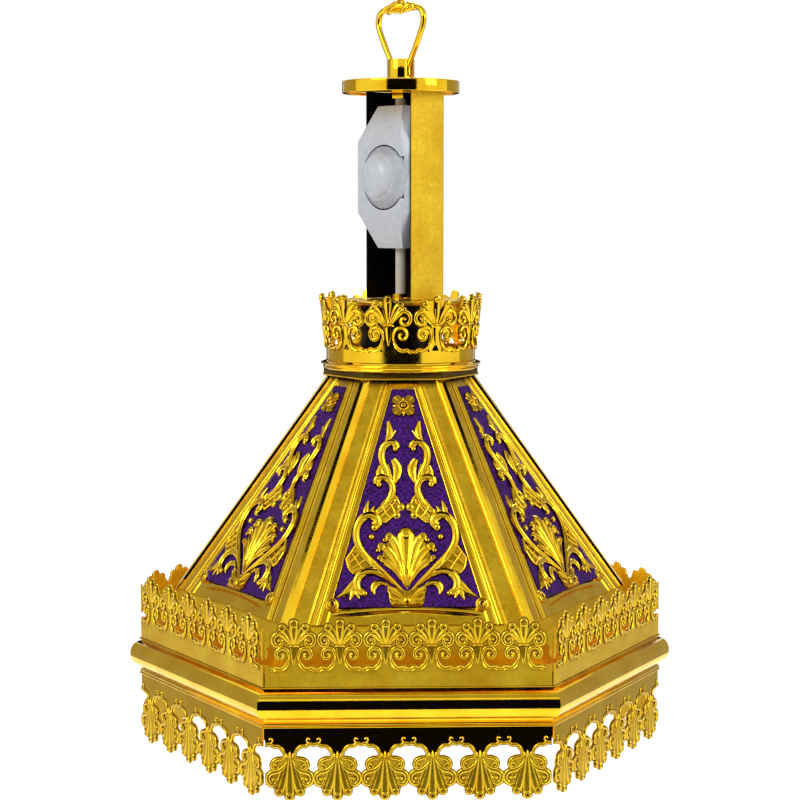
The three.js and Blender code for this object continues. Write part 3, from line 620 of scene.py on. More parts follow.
def disc_field(x, y, strokes, margin=0.25):
    """Above 0 within the margin round every stroke. A stroke is its points and its half widths."""
    field = np.full(x.shape, -99.0)
    for points, widths in strokes:
        line = smooth_line(points, 3)
        for (centre_x, centre_y), radius in zip(line, spread_along(line, widths)):
            field = np.maximum(field, radius + margin - np.hypot(x - centre_x, y - centre_y))
    return field


def cut_sheet(metal, low, high, step):
    """A sheet between two corners wherever metal(x, y) is above 0. Its outer face is at height 0."""
    xs = np.linspace(low[0], high[0], round((high[0] - low[0]) / step) + 1)
    ys = np.linspace(low[1], high[1], round((high[1] - low[1]) / step) + 1)
    field = metal(*np.meshgrid(xs, ys))
    field[np.abs(field) < 1e-6] = 1e-6
    places = []
    numbers = {}

    def number_of(first, second):
        """The number of the point where the edge of the metal lies between two corners of the grid."""
        key = (min(first, second), max(first, second))
        if key not in numbers:
            share = 0 if first == second else field[first] / (field[first] - field[second])
            numbers[key] = len(places)
            x, y = xs[first[1]], ys[first[0]]
            places.append((x + share * (xs[second[1]] - x), y + share * (ys[second[0]] - y), 0.0))
        return numbers[key]

    flats = []
    inside = field > 0
    some = inside[:-1, :-1] | inside[1:, :-1] | inside[:-1, 1:] | inside[1:, 1:]
    for row, column in zip(*np.nonzero(some)):
        ring = [(row, column), (row, column + 1), (row + 1, column + 1), (row + 1, column)]
        shape = []
        for first, second in zip(ring, ring[1:] + ring[:1]):
            if inside[first]:
                shape.append(number_of(first, first))
            if inside[first] != inside[second]:
                shape.append(number_of(first, second))
        if len(shape) > 2:
            flats.append(tuple(shape))
    return thickened(np.array(places), flats, sheet_thickness, np.full(len(places), 0.5))


def thickened(top, flats, thickness, level):
    """A closed sheet from the faces of its outer side: those, the back, and walls on every free edge."""
    count = len(top)
    edges = {}
    for face in flats:
        for first, second in zip(face, face[1:] + face[:1]):
            if (second, first) in edges:
                del edges[(second, first)]
            else:
                edges[(first, second)] = True
    faces = flats + [tuple(index + count for index in reversed(face)) for face in flats]
    faces += [(second, first, first + count, second + count) for first, second in edges]
    return np.vstack([top, top - (0, 0, thickness)]), faces, np.tile(level, 2)


def outlines(strokes, lobes, weight=1.0):
    """Strokes without their heights, for the field of a sheet, and lobes as strokes of 0.1 mm."""
    found = [weighed(stroke, weight)[:2] for stroke in strokes]
    for (x, y), radius in lobes:
        found.append(([(x, y), (x, y + math.copysign(0.1, y))], [radius * weight] * 2))
    return found


def weighed(stroke, weight):
    """The same stroke with all its half widths multiplied."""
    return (stroke[0], [weight * half for half in stroke[1]], *stroke[2:])


# %% [markdown]
# One gallery palmette, drawn in millimetres from its tip down: five pitted lobes over a fan of flutes, a
# pair of large volutes that meet the neighbours, a pair of small ones lower down, and a rim with a double
# edge round the opening. The half unit is drawn once and mirrored. The crown uses the same unit, a little
# larger. A stroke is its points, its half widths and its height.

# %% The gallery palmette
gallery_pitch = 24.9
gallery_tip_z = -335.5
gallery_foot_z = -373.3
gallery_opening = -28.2  # from the tip down to the openings' foot
lobe_segments = 14

gallery_volutes = [
    ([(2.4, -13.8), (3.6, -11.0), (5.6, -8.9), (8.0, -8.3), (10.3, -9.3), (11.2, -11.7), (10.2, -14.2),
      (7.9, -14.9), (6.3, -13.4), (7.0, -11.6), (8.4, -11.6)],
     [0.7, 1.1, 1.4, 1.5, 1.55, 1.5, 1.35, 1.2, 0.9], 1.4),
    ([(2.5, -22.6), (2.7, -19.4), (3.9, -17.1), (6.2, -16.3), (8.5, -17.3), (9.5, -19.5), (8.4, -21.7),
      (6.4, -21.8), (5.5, -20.2), (6.6, -19.1)],
     [0.7, 1.1, 1.3, 1.35, 1.3, 1.2, 1.05, 0.8], 1.4),
]
gallery_flutes = [
    ([(0.9, -14.4), (2.4, -10.4), (4.2, -7.2), (6.0, -5.4)], [0.6, 1.5, 2.2, 2.6], 1.3),
    ([(1.7, -14.4), (4.0, -11.4), (6.0, -9.2), (7.6, -7.6)], [0.5, 1.2, 1.7, 1.7], 1.0),
]
gallery_middle = ([(0, -14.6), (0, -9.5), (0, -5.2), (0, -2.6)], [0.6, 1.9, 2.6, 2.8], 1.6)
gallery_lobes = [((6.2, -5.0), 2.6), ((8.2, -7.2), 1.5)]
gallery_stem = ([(0, -16.2), (0, -20.0), (0, -23.6), (0, -25.2)], [2.5, 2.1, 1.5, 0.5], 0.8)
gallery_rim = (
    [(2.9, -21.8), (3.3, -24.1), (4.7, -26.4), (7.2, -27.7), (9.5, -27.2), (11.1, -28.2), (12.6, -27.8)],
    [0.8, 1.2, 1.35, 1.1], 1.1)


def gallery_ornament(weight=1.0):
    """The raised forms of one palmette, on a sheet whose outer face is at height 0."""
    half = [ridge(*weighed(stroke, weight)) for stroke in gallery_volutes + gallery_flutes]
    half += [pitted_dome(centre, radius * weight, 1.45, lobe_segments) for centre, radius in gallery_lobes]
    half.append(ridge(*weighed(gallery_rim, weight), back=dished_back))
    half += [dome((8.4, -11.9), 1.0, 1.4), dome((6.5, -19.4), 0.9, 1.3)]
    half.append(ridge([(0.2, -15.3), (1.6, -15.0), (3.0, -15.7)], [0.5, 0.75, 0.3], 1.3))
    middle = [ridge(*weighed(stroke, weight)) for stroke in (gallery_middle, gallery_stem)]
    middle += [pitted_dome((0, -2.8), 2.9 * weight, 1.8, lobe_segments), dome((0, -15.2), 0.9, 1.5)]
    return both_sides(half) + middle


def gallery_metal(x, y, pitch=gallery_pitch, size=1.0, tall=1.0, weight=1.0):
    """Where one strip of palmettes has metal, with y measured down from the tips."""
    across = np.abs(x % pitch - pitch / 2) / size
    high = y / tall
    strokes = gallery_volutes + gallery_flutes + [gallery_middle, gallery_rim]
    field = disc_field(across, high, outlines(strokes, gallery_lobes + [((0, -2.7), 2.7)], weight))
    fan = 1 - np.hypot(across / 6.2, (high + 9.5) / 6.5)
    upper_curl = 3.0 * weight - np.hypot(across - 8.2, high + 11.8)
    lower_curl = 2.8 * weight - np.hypot(across - 6.4, high + 19.2)
    stem_half = 3.2 * weight + 0.7 * np.clip((-20 - high) / 5, 0, 1.5)
    stem = np.minimum(stem_half - across, -13.0 - high)
    foot_line = gallery_opening + 0.5 * np.cos(across * 1.35 - 1.2)
    web = np.minimum(across - 9.6, 1.7 - np.abs(high + 12.0))
    return np.maximum.reduce([field, fan * 4, upper_curl, lower_curl, stem, foot_line - high, web])


print("one palmette has", sum(len(part[1]) for part in gallery_ornament()), "faces")

# %% [markdown]
# Geometry Nodes lay the palmettes out. The tree sets the unit on a line of points at the pitch of the
# strip and makes it real, and a turn about the lantern's axis puts the whole row on its own side. The
# same tree serves galleries and fringes, and each row lies on the cut sheet of its side.


# %% Geometry trees, and the one that sets units along a strip
def new_tree(name, numbers, objects=()):
    """An empty geometry tree with named inputs. It returns the tree, its inputs by name and its output."""
    tree = bpy.data.node_groups.new(name, "GeometryNodeTree")
    tree.interface.new_socket("Geometry", in_out="INPUT", socket_type="NodeSocketGeometry")
    for label, value in numbers.items():
        kind = "NodeSocketInt" if isinstance(value, int) else "NodeSocketFloat"
        tree.interface.new_socket(label, in_out="INPUT", socket_type=kind).default_value = value
    for label in objects:
        tree.interface.new_socket(label, in_out="INPUT", socket_type="NodeSocketObject")
    tree.interface.new_socket("Geometry", in_out="OUTPUT", socket_type="NodeSocketGeometry")
    given = {socket.name: Number(tree, socket) for socket in add_node(tree, "NodeGroupInput").outputs}
    return tree, given, add_node(tree, "NodeGroupOutput")


def end_tree(tree, geometry, output, material):
    """Every tree ends the same way: instances made real, then the material."""
    real = add_node(tree, "GeometryNodeRealizeInstances", {0: geometry})
    painted = add_node(tree, "GeometryNodeSetMaterial", {"Geometry": real.outputs[0], "Material": material})
    tree.links.new(painted.outputs[0], output.inputs[0])
    return tree


def grow(maker, tree, values):
    """Puts the tree on the maker object, with its inputs set by the sockets' identifiers."""
    modifier = maker.modifiers.new(tree.name, "NODES")
    modifier.node_group = tree
    for item in tree.interface.items_tree:
        if item.in_out == "INPUT" and item.name in values:
            modifier[item.identifier] = values[item.name]


def xyz(tree, x=0.0, y=0.0, z=0.0):
    return add_node(tree, "ShaderNodeCombineXYZ", {0: x, 1: y, 2: z}).outputs[0]


def point_place(tree):
    """The three coordinates of each point."""
    position = add_node(tree, "GeometryNodeInputPosition").outputs[0]
    apart = add_node(tree, "ShaderNodeSeparateXYZ", {0: position})
    return [Number(tree, socket) for socket in apart.outputs]


def copies_on(tree, points, unit, **more):
    found = add_node(tree, "GeometryNodeObjectInfo", {"Object": unit}).outputs["Geometry"]
    inputs = {"Points": points.outputs[0], "Instance": found, **more}
    return add_node(tree, "GeometryNodeInstanceOnPoints", inputs).outputs[0]


def copies_in_a_row(tree, given):
    start = xyz(tree, (given["Count"] - 1.0) * given["Pitch"] * -0.5)
    inputs = {"Count": given["Count"], "Start Location": start, "Offset": xyz(tree, given["Pitch"])}
    return copies_on(tree, add_node(tree, "GeometryNodeMeshLine", inputs), given["Unit"])


def turn_of_each(tree, count):
    """A turn about Z that goes once round from the first point to the last."""
    index = Number(tree, add_node(tree, "GeometryNodeInputIndex").outputs[0])
    return xyz(tree, z=index / count * FULL_TURN)


def together(tree, *geometries):
    whole = add_node(tree, "GeometryNodeJoinGeometry")
    for geometry in geometries:
        tree.links.new(geometry, whole.inputs[0])
    return whole.outputs[0]


def strip_tree():
    tree, given, output = new_tree("strip of units", {"Count": 6, "Pitch": 0.0249, "Turn": 0.0}, ["Unit"])
    turned = {"Geometry": copies_in_a_row(tree, given), "Rotation": xyz(tree, z=given["Turn"])}
    row = add_node(tree, "GeometryNodeTransform", turned)
    return end_tree(tree, row.outputs[0], output, cast)


units_along_strip = strip_tree()


def strip_pieces(kind, ornament, metal, pitch, tip_z, low, high, shining=None):
    """The cut sheets of all sides and the raised units on them. Both stand for the side's node.

    shining may be a function that says which faces of a sheet are polished.
    """
    sheet = cut_sheet(metal, (-strip_half, low), (strip_half, high), strip_step)
    unit = make_object(f"{kind}_unit", ornament, cast, strip_place(0, tip_z))
    for side in range(SIDES):
        node = f"{kind}_{side + 1}"
        flat = make_object(f"{node}_sheet", [sheet], ochre, strip_place(side, tip_z))
        if shining:
            second_finish(flat, polished, shining)
        settle(flat, "lantern", "polished_gold", node)
        maker = new_object(f"{node}_maker", bpy.data.meshes.new(node))
        grow(maker, units_along_strip, {"Pitch": pitch * MM, "Turn": side * FULL_TURN / SIDES, "Unit": unit})
        settle(merged_copy(maker, f"{node}_ornament", cast), "lantern", "polished_gold", node)
    bpy.data.objects.remove(unit)


palmettes = gallery_ornament()
gallery_low = gallery_foot_z - gallery_tip_z
strip_pieces("gallery", palmettes, gallery_metal, gallery_pitch, gallery_tip_z, gallery_low, sheet_margin)

# %% [markdown]
# The fringe hangs under the band: each pendant is a leaf of flutes with pitted lobes at its foot and two
# pairs of volutes, and the arches between the stems have a raised edge with two tiny curls at the crown.
# It is drawn from the pendant's tip upwards. Above the arches the sheet is polished.

# %% The hanging fringe
fringe_pitch = 25.9
fringe_tip_z = -435.9
fringe_top = 39.6
fringe_arch = 30.6
fringe_polish = 25  # from the tip up

fringe_volutes = [
    ([(1.6, 25.0), (3.8, 23.3), (6.2, 23.0), (8.7, 21.7), (9.6, 19.3), (8.4, 17.4), (6.4, 17.9), (6.6, 19.8)],
     [0.7, 1.1, 1.3, 1.35, 1.2, 1.0, 0.7], 1.2),
    ([(1.0, 21.8), (3.5, 18.4), (6.4, 16.2), (9.6, 15.5), (11.7, 13.5), (11.6, 10.4), (9.5, 8.7),
      (7.3, 9.5), (7.1, 11.8), (8.9, 12.6)],
     [0.5, 1.1, 1.5, 1.65, 1.6, 1.4, 1.1, 0.8], 1.2),
]
fringe_flutes = [
    ([(0.8, 23.4), (2.6, 15.4), (4.0, 9.2), (5.3, 5.0)], [0.5, 1.7, 2.4, 2.5], 1.2),
    ([(1.4, 22.4), (4.2, 15.6), (5.7, 11.0), (6.7, 8.2)], [0.4, 1.3, 1.8, 1.6], 1.0),
]
fringe_middle = ([(0, 24.4), (0, 14.0), (0, 7.0), (0, 2.8)], [0.5, 1.9, 2.7, 2.9], 1.4)
fringe_lobes = [((5.8, 4.7), 2.4), ((7.3, 6.9), 1.4)]
fringe_rim = (
    [(2.6, 23.6), (2.9, 26.0), (4.2, 28.4), (6.4, 30.1), (8.6, 30.1), (10.7, 31.3), (12.95, 30.9)],
    [0.7, 1.05, 1.1, 1.05], 0.9)
fringe_curl = ([(11.8, 32.2), (10.1, 32.0), (9.2, 33.3), (10.0, 34.5), (11.0, 33.8)], [0.3, 0.5, 0.45], 0.7)


def fringe_ornament():
    half = [ridge(*stroke) for stroke in fringe_volutes + fringe_flutes + [fringe_rim, fringe_curl]]
    half += [pitted_dome(centre, radius, 1.45, lobe_segments) for centre, radius in fringe_lobes]
    half += [dome((9.2, 12.0), 1.2, 1.5), dome((7.7, 20.1), 1.0, 1.4)]
    half.append(ridge([(1.2, 24.2), (2.2, 25.8), (3.4, 26.6)], [0.7, 0.8, 0.2], 1.1))
    middle = [ridge(*fringe_middle), pitted_dome((0, 2.5), 2.8, 1.6, lobe_segments)]
    middle.append(ridge([(0, 23.6), (0, 25.4), (0, 27.2)], [0.9, 1.0, 0.2], 1.2))
    return both_sides(half) + middle


def fringe_metal(x, y):
    across = np.abs(x % fringe_pitch - fringe_pitch / 2)
    strokes = fringe_volutes + fringe_flutes + [fringe_middle, fringe_rim]
    field = disc_field(across, y, outlines(strokes, fringe_lobes + [((0, 2.5), 2.6)]))
    fan = 1 - np.hypot(across / 7.4, (y - 12.5) / 10.5)
    curls = np.maximum(3.4 - np.hypot(across - 9.1, y - 12.4), 2.7 - np.hypot(across - 7.4, y - 20.2))
    neck = np.minimum(3.4 + 0.45 * (24 - y) - across, np.minimum(24.6 - y, y - 12))
    stem = np.minimum(3.0 - across, y - 20)
    arch_line = fringe_arch - 0.55 * (6 - np.clip(across, 0, 6))
    touch = np.minimum(across - 11.4, 1.2 - np.abs(y - 12.6))
    return np.maximum.reduce([field, fan * 5, curls, neck, stem, y - arch_line, touch])


def over_the_leaves(face):
    return face.center.z > (fringe_tip_z + fringe_polish) * MM


pendants = fringe_ornament()
fringe_ends = (-sheet_margin, fringe_top)
strip_pieces("fringe", pendants, fringe_metal, fringe_pitch, fringe_tip_z, *fringe_ends, over_the_leaves)

# %% [markdown]
# The crown is the gallery's strip again, a little larger and bent into a ring that opens outwards. A
# tree does the bending: it lays ten units on the flat strip, then turns every point's distance along the
# strip into an angle about the axis, so sheet and ornament bend together.

# %% The crown
crown_units = 10
crown_radius = 44.6
crown_tip_z = -164.4
crown_pierced_z = -197.8
crown_bottom_z = -204.5
crown_spread = 2.8
crown_turn = math.radians(7)
crown_weight = 0.74  # its strokes are finer than the gallery's
crown_hole_foot = -33.0  # from the tips down
crown_hole_tall, crown_hole_half = 4.6, 2.6
crown_pitch = FULL_TURN * crown_radius / crown_units
crown_size = crown_pitch / gallery_pitch
crown_tall = (crown_tip_z - crown_pierced_z) / -gallery_opening


def crown_tree():
    numbers = {"Count": crown_units, "Pitch": 0.028, "Radius": 0.0446, "Turn": 0.12}
    tree, given, output = new_tree("crown of units", numbers | {"Lean": 0.084, "Foot": -0.1978}, ["Unit"])
    whole = together(tree, given["Geometry"].socket, copies_in_a_row(tree, given))
    real = add_node(tree, "GeometryNodeRealizeInstances", {0: whole})
    x, y, z = point_place(tree)
    angle = x / given["Radius"] + given["Turn"]
    above = worked_out(tree, "MAXIMUM", z - given["Foot"], 0.0)
    away = above * given["Lean"] + given["Radius"] - y
    behind = away * worked_out(tree, "COSINE", angle)
    bent = xyz(tree, away * worked_out(tree, "SINE", angle), behind * -1.0, z)
    moved = add_node(tree, "GeometryNodeSetPosition", {"Geometry": real.outputs[0], "Position": bent})
    close = {"Geometry": moved.outputs[0], "Distance": 0.00002}
    sewn = add_node(tree, "GeometryNodeMergeByDistance", close)
    return end_tree(tree, sewn.outputs[0], output, carved)


def crown_metal(x, y):
    """The palmettes, with a small arched hole at the foot of each stem."""
    across = np.abs(x % crown_pitch - crown_pitch / 2)
    above = y - crown_hole_foot
    hole = np.minimum(crown_hole_half * (1 - above / crown_hole_tall) - across, above)
    return np.minimum(gallery_metal(x, y, crown_pitch, crown_size, crown_tall, crown_weight), -hole)


def crown_piece():
    scale = (crown_size, crown_tall, 1.1)
    ornament = [(verts * scale, faces, level) for verts, faces, level in gallery_ornament(crown_weight)]
    unit = make_object("crown_unit", ornament, carved, upright(crown_tip_z))
    half_round = math.pi * crown_radius
    low = (-half_round, crown_bottom_z - crown_tip_z)
    sheet = cut_sheet(crown_metal, low, (half_round, sheet_margin), crown_step)
    maker = make_object("crown_maker", [sheet], carved, upright(crown_tip_z))
    lean = crown_spread / (crown_tip_z - crown_pierced_z)
    values = {"Count": crown_units, "Pitch": crown_pitch * MM, "Radius": crown_radius * MM}
    values |= {"Turn": crown_turn, "Lean": lean, "Foot": crown_pierced_z * MM, "Unit": unit}
    grow(maker, crown_tree(), values)
    settle(merged_copy(maker, "crown_ring", carved), "lantern", "polished_gold", "crown_lace")
    bpy.data.objects.remove(unit)


crown_piece()

# %% [markdown]
# Everything turned on a lathe or drawn through a die is one outline swept round the axis: smooth for the
# disc, the flange and the bulb, and with six flat sides for the base band. The outline runs round the
# section of the metal, so the swept body closes on itself.


# %% Turned and six-sided pieces
def swept(outline, segments, corners=1.0, levels=0.6):
    """The closed outline of (radius, height) points swept round Z. Points on the axis are joined."""
    outline = np.asarray(outline, float)
    count = len(outline)
    radius = outline[:, 0] * corners
    rings = []
    for angle in np.arange(segments) * FULL_TURN / segments:
        rings.append(np.column_stack([radius * math.cos(angle), radius * math.sin(angle), outline[:, 1]]))
    faces = []
    for first in range(0, segments * count, count):
        second = (first + count) % (segments * count)
        for index in range(count):
            beside = (index + 1) % count
            if radius[index] or radius[beside]:
                faces.append((first + index, second + index, second + beside, first + beside))
    return np.vstack(rings), faces, np.tile(np.full(count, levels), segments)


def arc(centre, radius, start, end, steps, tall=None):
    """Points on an arc, with angles in degrees. tall gives it another half height."""
    angles = np.radians(np.linspace(start, end, steps))
    heights = (radius if tall is None else tall) * np.sin(angles)
    return [(centre[0] + radius * math.cos(a), centre[1] + h) for a, h in zip(angles, heights)]


def turned_piece(name, outline, material, slot, node, segments=96):
    settle(make_object(name, [swept(outline, segments)], material, sewn=True), "lantern", slot, node)


disc_top_z, disc_bottom_z, disc_radius = -39.5, -46.9, 34.8
disc_seat_radius, disc_seat_z = 8.5, -40.1
disc_outline = [(3.4, disc_bottom_z + 2), (disc_radius - 2.3, disc_bottom_z + 2)]
disc_outline += [(disc_radius - 1.9, disc_bottom_z + 1.7), (disc_radius - 1.9, disc_bottom_z + 0.3)]
disc_outline += [(disc_radius - 1.4, disc_bottom_z), (disc_radius - 0.5, disc_bottom_z)]
disc_outline += arc((disc_radius - 0.5, disc_bottom_z + 0.5), 0.5, -60, 0, 4)
disc_outline += arc((disc_radius - 0.8, disc_top_z - 0.8), 0.8, 0, 90, 6)
disc_outline += [(disc_seat_radius, disc_top_z), (disc_seat_radius, disc_seat_z), (3.4, disc_seat_z)]
turned_piece("top_disc_rim", disc_outline, polished, "polished_gold", "top_disc", 128)

flange_top_z, flange_bottom_z, flange_radius = -204.8, -209.9, 47.9
flange_outline = [(5.6, flange_top_z - 1.4), (41.6, flange_top_z - 1.4), (42, flange_top_z - 1.8)]
flange_outline += [(42, flange_bottom_z), (45.9, flange_bottom_z)]
flange_outline += arc((45.6, flange_bottom_z + 1.0), 1.0, -60, 60, 6)
flange_outline += [(46.2, flange_top_z - 2.9)]
flange_outline += arc((flange_radius - 0.6, flange_top_z - 1.9), 0.6, -80, 80, 7)
flange_outline += [(45.4, flange_top_z - 0.9), (44.9, flange_top_z - 0.1), (5.6, flange_top_z)]
turned_piece("crown_flange_rim", flange_outline, polished, "polished_gold", "crown_flange", 128)

skirt_top_z, skirt_bottom_z, skirt_apothem = -208.4, -214.6, 40.6
skirt_outline = [(skirt_apothem - 2, skirt_top_z), (skirt_apothem - 2, skirt_bottom_z)]
skirt_outline += [(skirt_apothem - 0.6, skirt_bottom_z)]
skirt_outline += arc((skirt_apothem - 0.6, skirt_bottom_z + 0.7), 0.7, -70, 70, 6)
skirt_outline += [(skirt_apothem - 0.5, skirt_bottom_z + 1.6), (skirt_apothem - 0.5, skirt_top_z)]
skirt_levels = [0, 0, 0.1, 0.1, 0.3, 0.5, 0.3, 0.1, 0, 0, 0]
skirt_part = swept(skirt_outline, SIDES, corner_ratio, skirt_levels)
skirt = make_object("crown_skirt", [skirt_part], shadowed, sewn=True)
settle(skirt, "lantern", "polished_gold", "crown_flange")

foot_top_z, foot_radius = -169, 36
foot_outline = [(5.6, foot_top_z - 2.4), (foot_radius - 0.4, foot_top_z - 2.4)]
foot_outline += [(foot_radius, foot_top_z - 2.0), (foot_radius, foot_top_z - 0.8)]
foot_outline += arc((foot_radius - 0.8, foot_top_z - 0.8), 0.8, 15, 90, 5)
foot_outline += [(5.6, foot_top_z)]
turned_piece("neck_foot_plate", foot_outline, satin, "satin_gold", "neck_foot_disc")

# The drum is blackened iron, painted dark for the shade inside the crown
drum_outline = [(23, -204.5), (24, -204.5), (24, -171.7), (23, -171.7)]
turned_piece("neck_drum_wall", drum_outline, dark_metal, "dark_metal", "neck_drum")

tube_outline = [(3.9, -236), (5.3, -236), (5.3, -165.9), (4.9, -165.5), (3.9, -165.5)]
turned_piece("threaded_tube", tube_outline, polished, "polished_gold", "central_tube", 48)

# %% [markdown]
# The base band is a six-sided frame of rolled sheet: a flat lip behind each gallery, a half-round roll
# between two grooves of fine lines, and a lip behind each fringe. Its corners are mitred, so the outline
# is swept with six flat sides and the corners stay sharp.

# %% Base band
band_top_z, band_bottom_z = -373.6, -396
roll_top_z, roll_bottom_z, roll_apothem = -375.6, -391.3, 142.2
band_inner = strip_face - 1.3
roll_middle = (roll_top_z + roll_bottom_z) / 2
roll_tall = (roll_top_z - roll_bottom_z) / 2
roll_bulge = roll_apothem - strip_face + 0.4
ledge = strip_face + 0.8


def bead(apothem, z, radius):
    """A fine half-round line on an upright wall, from its lower side to its upper one."""
    return arc((apothem, z), radius, -80, 80, 5)


band_outline = [(band_inner - 1.2, band_bottom_z - 7), (band_inner, band_bottom_z - 7)]
band_outline += [(band_inner, band_bottom_z), (ledge - 0.3, band_bottom_z)]
band_outline += bead(ledge - 0.4, band_bottom_z + 0.7, 0.5) + bead(ledge - 0.7, band_bottom_z + 2.2, 0.45)
band_outline += [(ledge - 1.3, roll_bottom_z - 1.0)]
band_outline += arc((strip_face - 0.4, roll_middle), roll_bulge, -88, 88, 21, roll_tall)
band_outline += [(ledge - 1.4, roll_top_z + 0.4)]
band_outline += bead(ledge - 0.5, band_top_z - 0.7, 0.5) + [(ledge - 0.5, band_top_z)]
band_outline += [(band_inner, band_top_z), (band_inner, band_top_z + 7.6)]
band_outline += [(band_inner - 1.2, band_top_z + 7.6), (band_inner - 1.2, band_top_z - 1.2)]
band_outline += arc((strip_face - 1.6, roll_middle), roll_bulge, 88, -88, 11, roll_tall - 1.2)
band_outline += [(band_inner - 1.2, band_bottom_z + 1.2)]
band_part = swept(band_outline, SIDES, corner_ratio)
band = make_object("base_band_roll", [band_part], polished, sharp=34, sewn=True)
settle(band, "lantern", "polished_gold", "base_band")

# %% [markdown]
# Each face plate is pressed sheet: a broad rib and two fine ones run down either side of the panel, and a
# bowed rail closes it at the foot. It is a height over the flat face, worked out on rows down the slope,
# with the columns crowded together in the margins where the ribs lie. The ribs keep their share of the
# margin, which widens towards the foot.

# %% Face plates
# Each rib's place and half width as shares of the margin, its height, and how flat its back is
ribs = [(0.3, 0.28, 0.8, 4), (0.73, 0.1, 0.4, 2), (0.93, 0.09, 0.4, 2)]
hood_top = -6.4  # the plates start this far above the slope's top line, under the crown's skirt
rail_down, rail_bow, rail_half, rail_height = 143.4, 3.4, 1.7, 1.2


def hood_level(down):
    """The crown's shade lies on the first millimetres of the slope."""
    return np.interp(down, [-2.0, 5.0], [0.0, 0.6])


def margin_width(down):
    return corner_at(down) / 2 - wing_width(down) - 1 - panel_half(down)


def plate_height(across, down):
    """Height of the pressed plate over its flat face."""
    height = 0.0
    share = (across - panel_half(down)) / margin_width(down)
    start = min(1.0, max(0.0, (down + 1.4) / 2.8))
    for place, half_width, rise, flatness in ribs:
        away = abs(share - place) / half_width
        if away < 1:
            height = max(height, rise * math.sqrt(1 - away**flatness) * math.sqrt(start * (2 - start)))
    rail_middle = rail_down - rail_bow * (1 - (across / panel_bottom_half) ** 2)
    away = abs(down - rail_middle) / rail_half
    if away < 1 and across < panel_bottom_half - 0.6:
        height = max(height, rail_height * math.sqrt(1 - away**2))
    return height


def plate_row(down):
    half = panel_half(down)
    inner = np.linspace(0, half - 0.4, 6)
    columns = np.concatenate([inner, half + margin_width(down) * np.linspace(0.0, 1.0, 34)])
    right = [(across, -down, plate_height(across, down)) for across in columns]
    return [(-across, y, height) for across, y, height in right[:0:-1]] + right


def plate_part():
    downs = [*np.arange(hood_top, 3, 0.4), *np.arange(3, 138, 4.5), *np.arange(138, 146, 0.4)]
    downs += [147, plate_length]
    rows = np.array([plate_row(down) for down in downs])
    wide = rows.shape[1]
    faces = row_faces(len(downs), wide, closed=False)
    return thickened(rows.reshape(-1, 3), faces, plate_thickness, hood_level(np.repeat(downs, wide)))


plate = plate_part()
for side in range(SIDES):
    made = make_object(f"pressed_plate_{side + 1}", [plate], pressed, face_place(side), sharp=50)
    settle(made, "lantern", "satin_gold", f"face_plate_{side + 1}")

# %% [markdown]
# The panel's ground is the embossed foil. Geometry Nodes make it: a flat grid is drawn out to the
# panel's tapered shape, and every point is lifted by a pattern of rounded lozenges in staggered rows,
# each with rings inside, bent a little by a noise so that no two are quite alike. The pattern's height is
# stored as level, and the foil's colour follows it, painted darker in the hollows as shade.

# %% Embossed ground
emboss_width, emboss_height = 9.6, 6.9
ground_thickness, ground_rise = 0.8, 1.0


def emboss_level(tree, across, down, rings):
    """The pattern's height at a place, from 0 to 1."""
    place = {"Vector": xyz(tree, across, down), "Scale": 150.0, "Detail": 1.0}
    noise = Number(tree, add_node(tree, "ShaderNodeTexNoise", place).outputs[0])
    row = down / (emboss_height * MM / 2)
    row_number = worked_out(tree, "FLOOR", row + 0.5)
    column = across / (emboss_width * MM) + worked_out(tree, "MODULO", row_number, 2.0) * 0.5
    near_x = column - worked_out(tree, "FLOOR", column + 0.5)
    near_y = (row - row_number) * 0.5
    spread_x = worked_out(tree, "POWER", worked_out(tree, "ABSOLUTE", near_x * 2.0), 1.45)
    spread_y = worked_out(tree, "POWER", worked_out(tree, "ABSOLUTE", near_y * 2.6), 1.45)
    away = spread_x + spread_y + (noise - 0.5) * 1.7
    return worked_out(tree, "COSINE", away * rings * math.pi) * 0.5 + 0.5


def ground_tree():
    numbers = {"Step": 0.00055, "Relief": 0.00034, "Rings": 2.6, "Turn": 0.0}
    tree, given, output = new_tree("embossed ground", numbers)
    wide, tall = 2 * panel_bottom_half * MM, (panel_bottom - panel_top) * MM
    cells = {"Vertices X": wide / given["Step"], "Vertices Y": tall / given["Step"]}
    grid = add_node(tree, "GeometryNodeMeshGrid", {"Size X": wide, "Size Y": tall} | cells)
    x, y, _ = point_place(tree)
    down_share = 0.5 - y / tall
    narrow = panel_top_half / panel_bottom_half
    across = x * (narrow + down_share * (1 - narrow))
    down = down_share * tall + panel_top * MM
    level = emboss_level(tree, across, down, given["Rings"])
    outward = level * given["Relief"] + ground_rise * MM
    depth = down * lean_sin + outward * lean_cos + top_apothem * MM
    height = outward * lean_sin - down * lean_cos + shade_top_z * MM
    stored = {"Geometry": grid.outputs[0], "Name": "level", "Value": level}
    kind = {"data_type": "FLOAT", "domain": "POINT"}
    marked = add_node(tree, "GeometryNodeStoreNamedAttribute", stored, **kind)
    placed = {"Geometry": marked.outputs[0], "Position": xyz(tree, across, depth * -1.0, height)}
    moved = add_node(tree, "GeometryNodeSetPosition", placed)
    turned = {"Geometry": moved.outputs[0], "Rotation": xyz(tree, z=given["Turn"])}
    return end_tree(tree, add_node(tree, "GeometryNodeTransform", turned).outputs[0], output, violet)


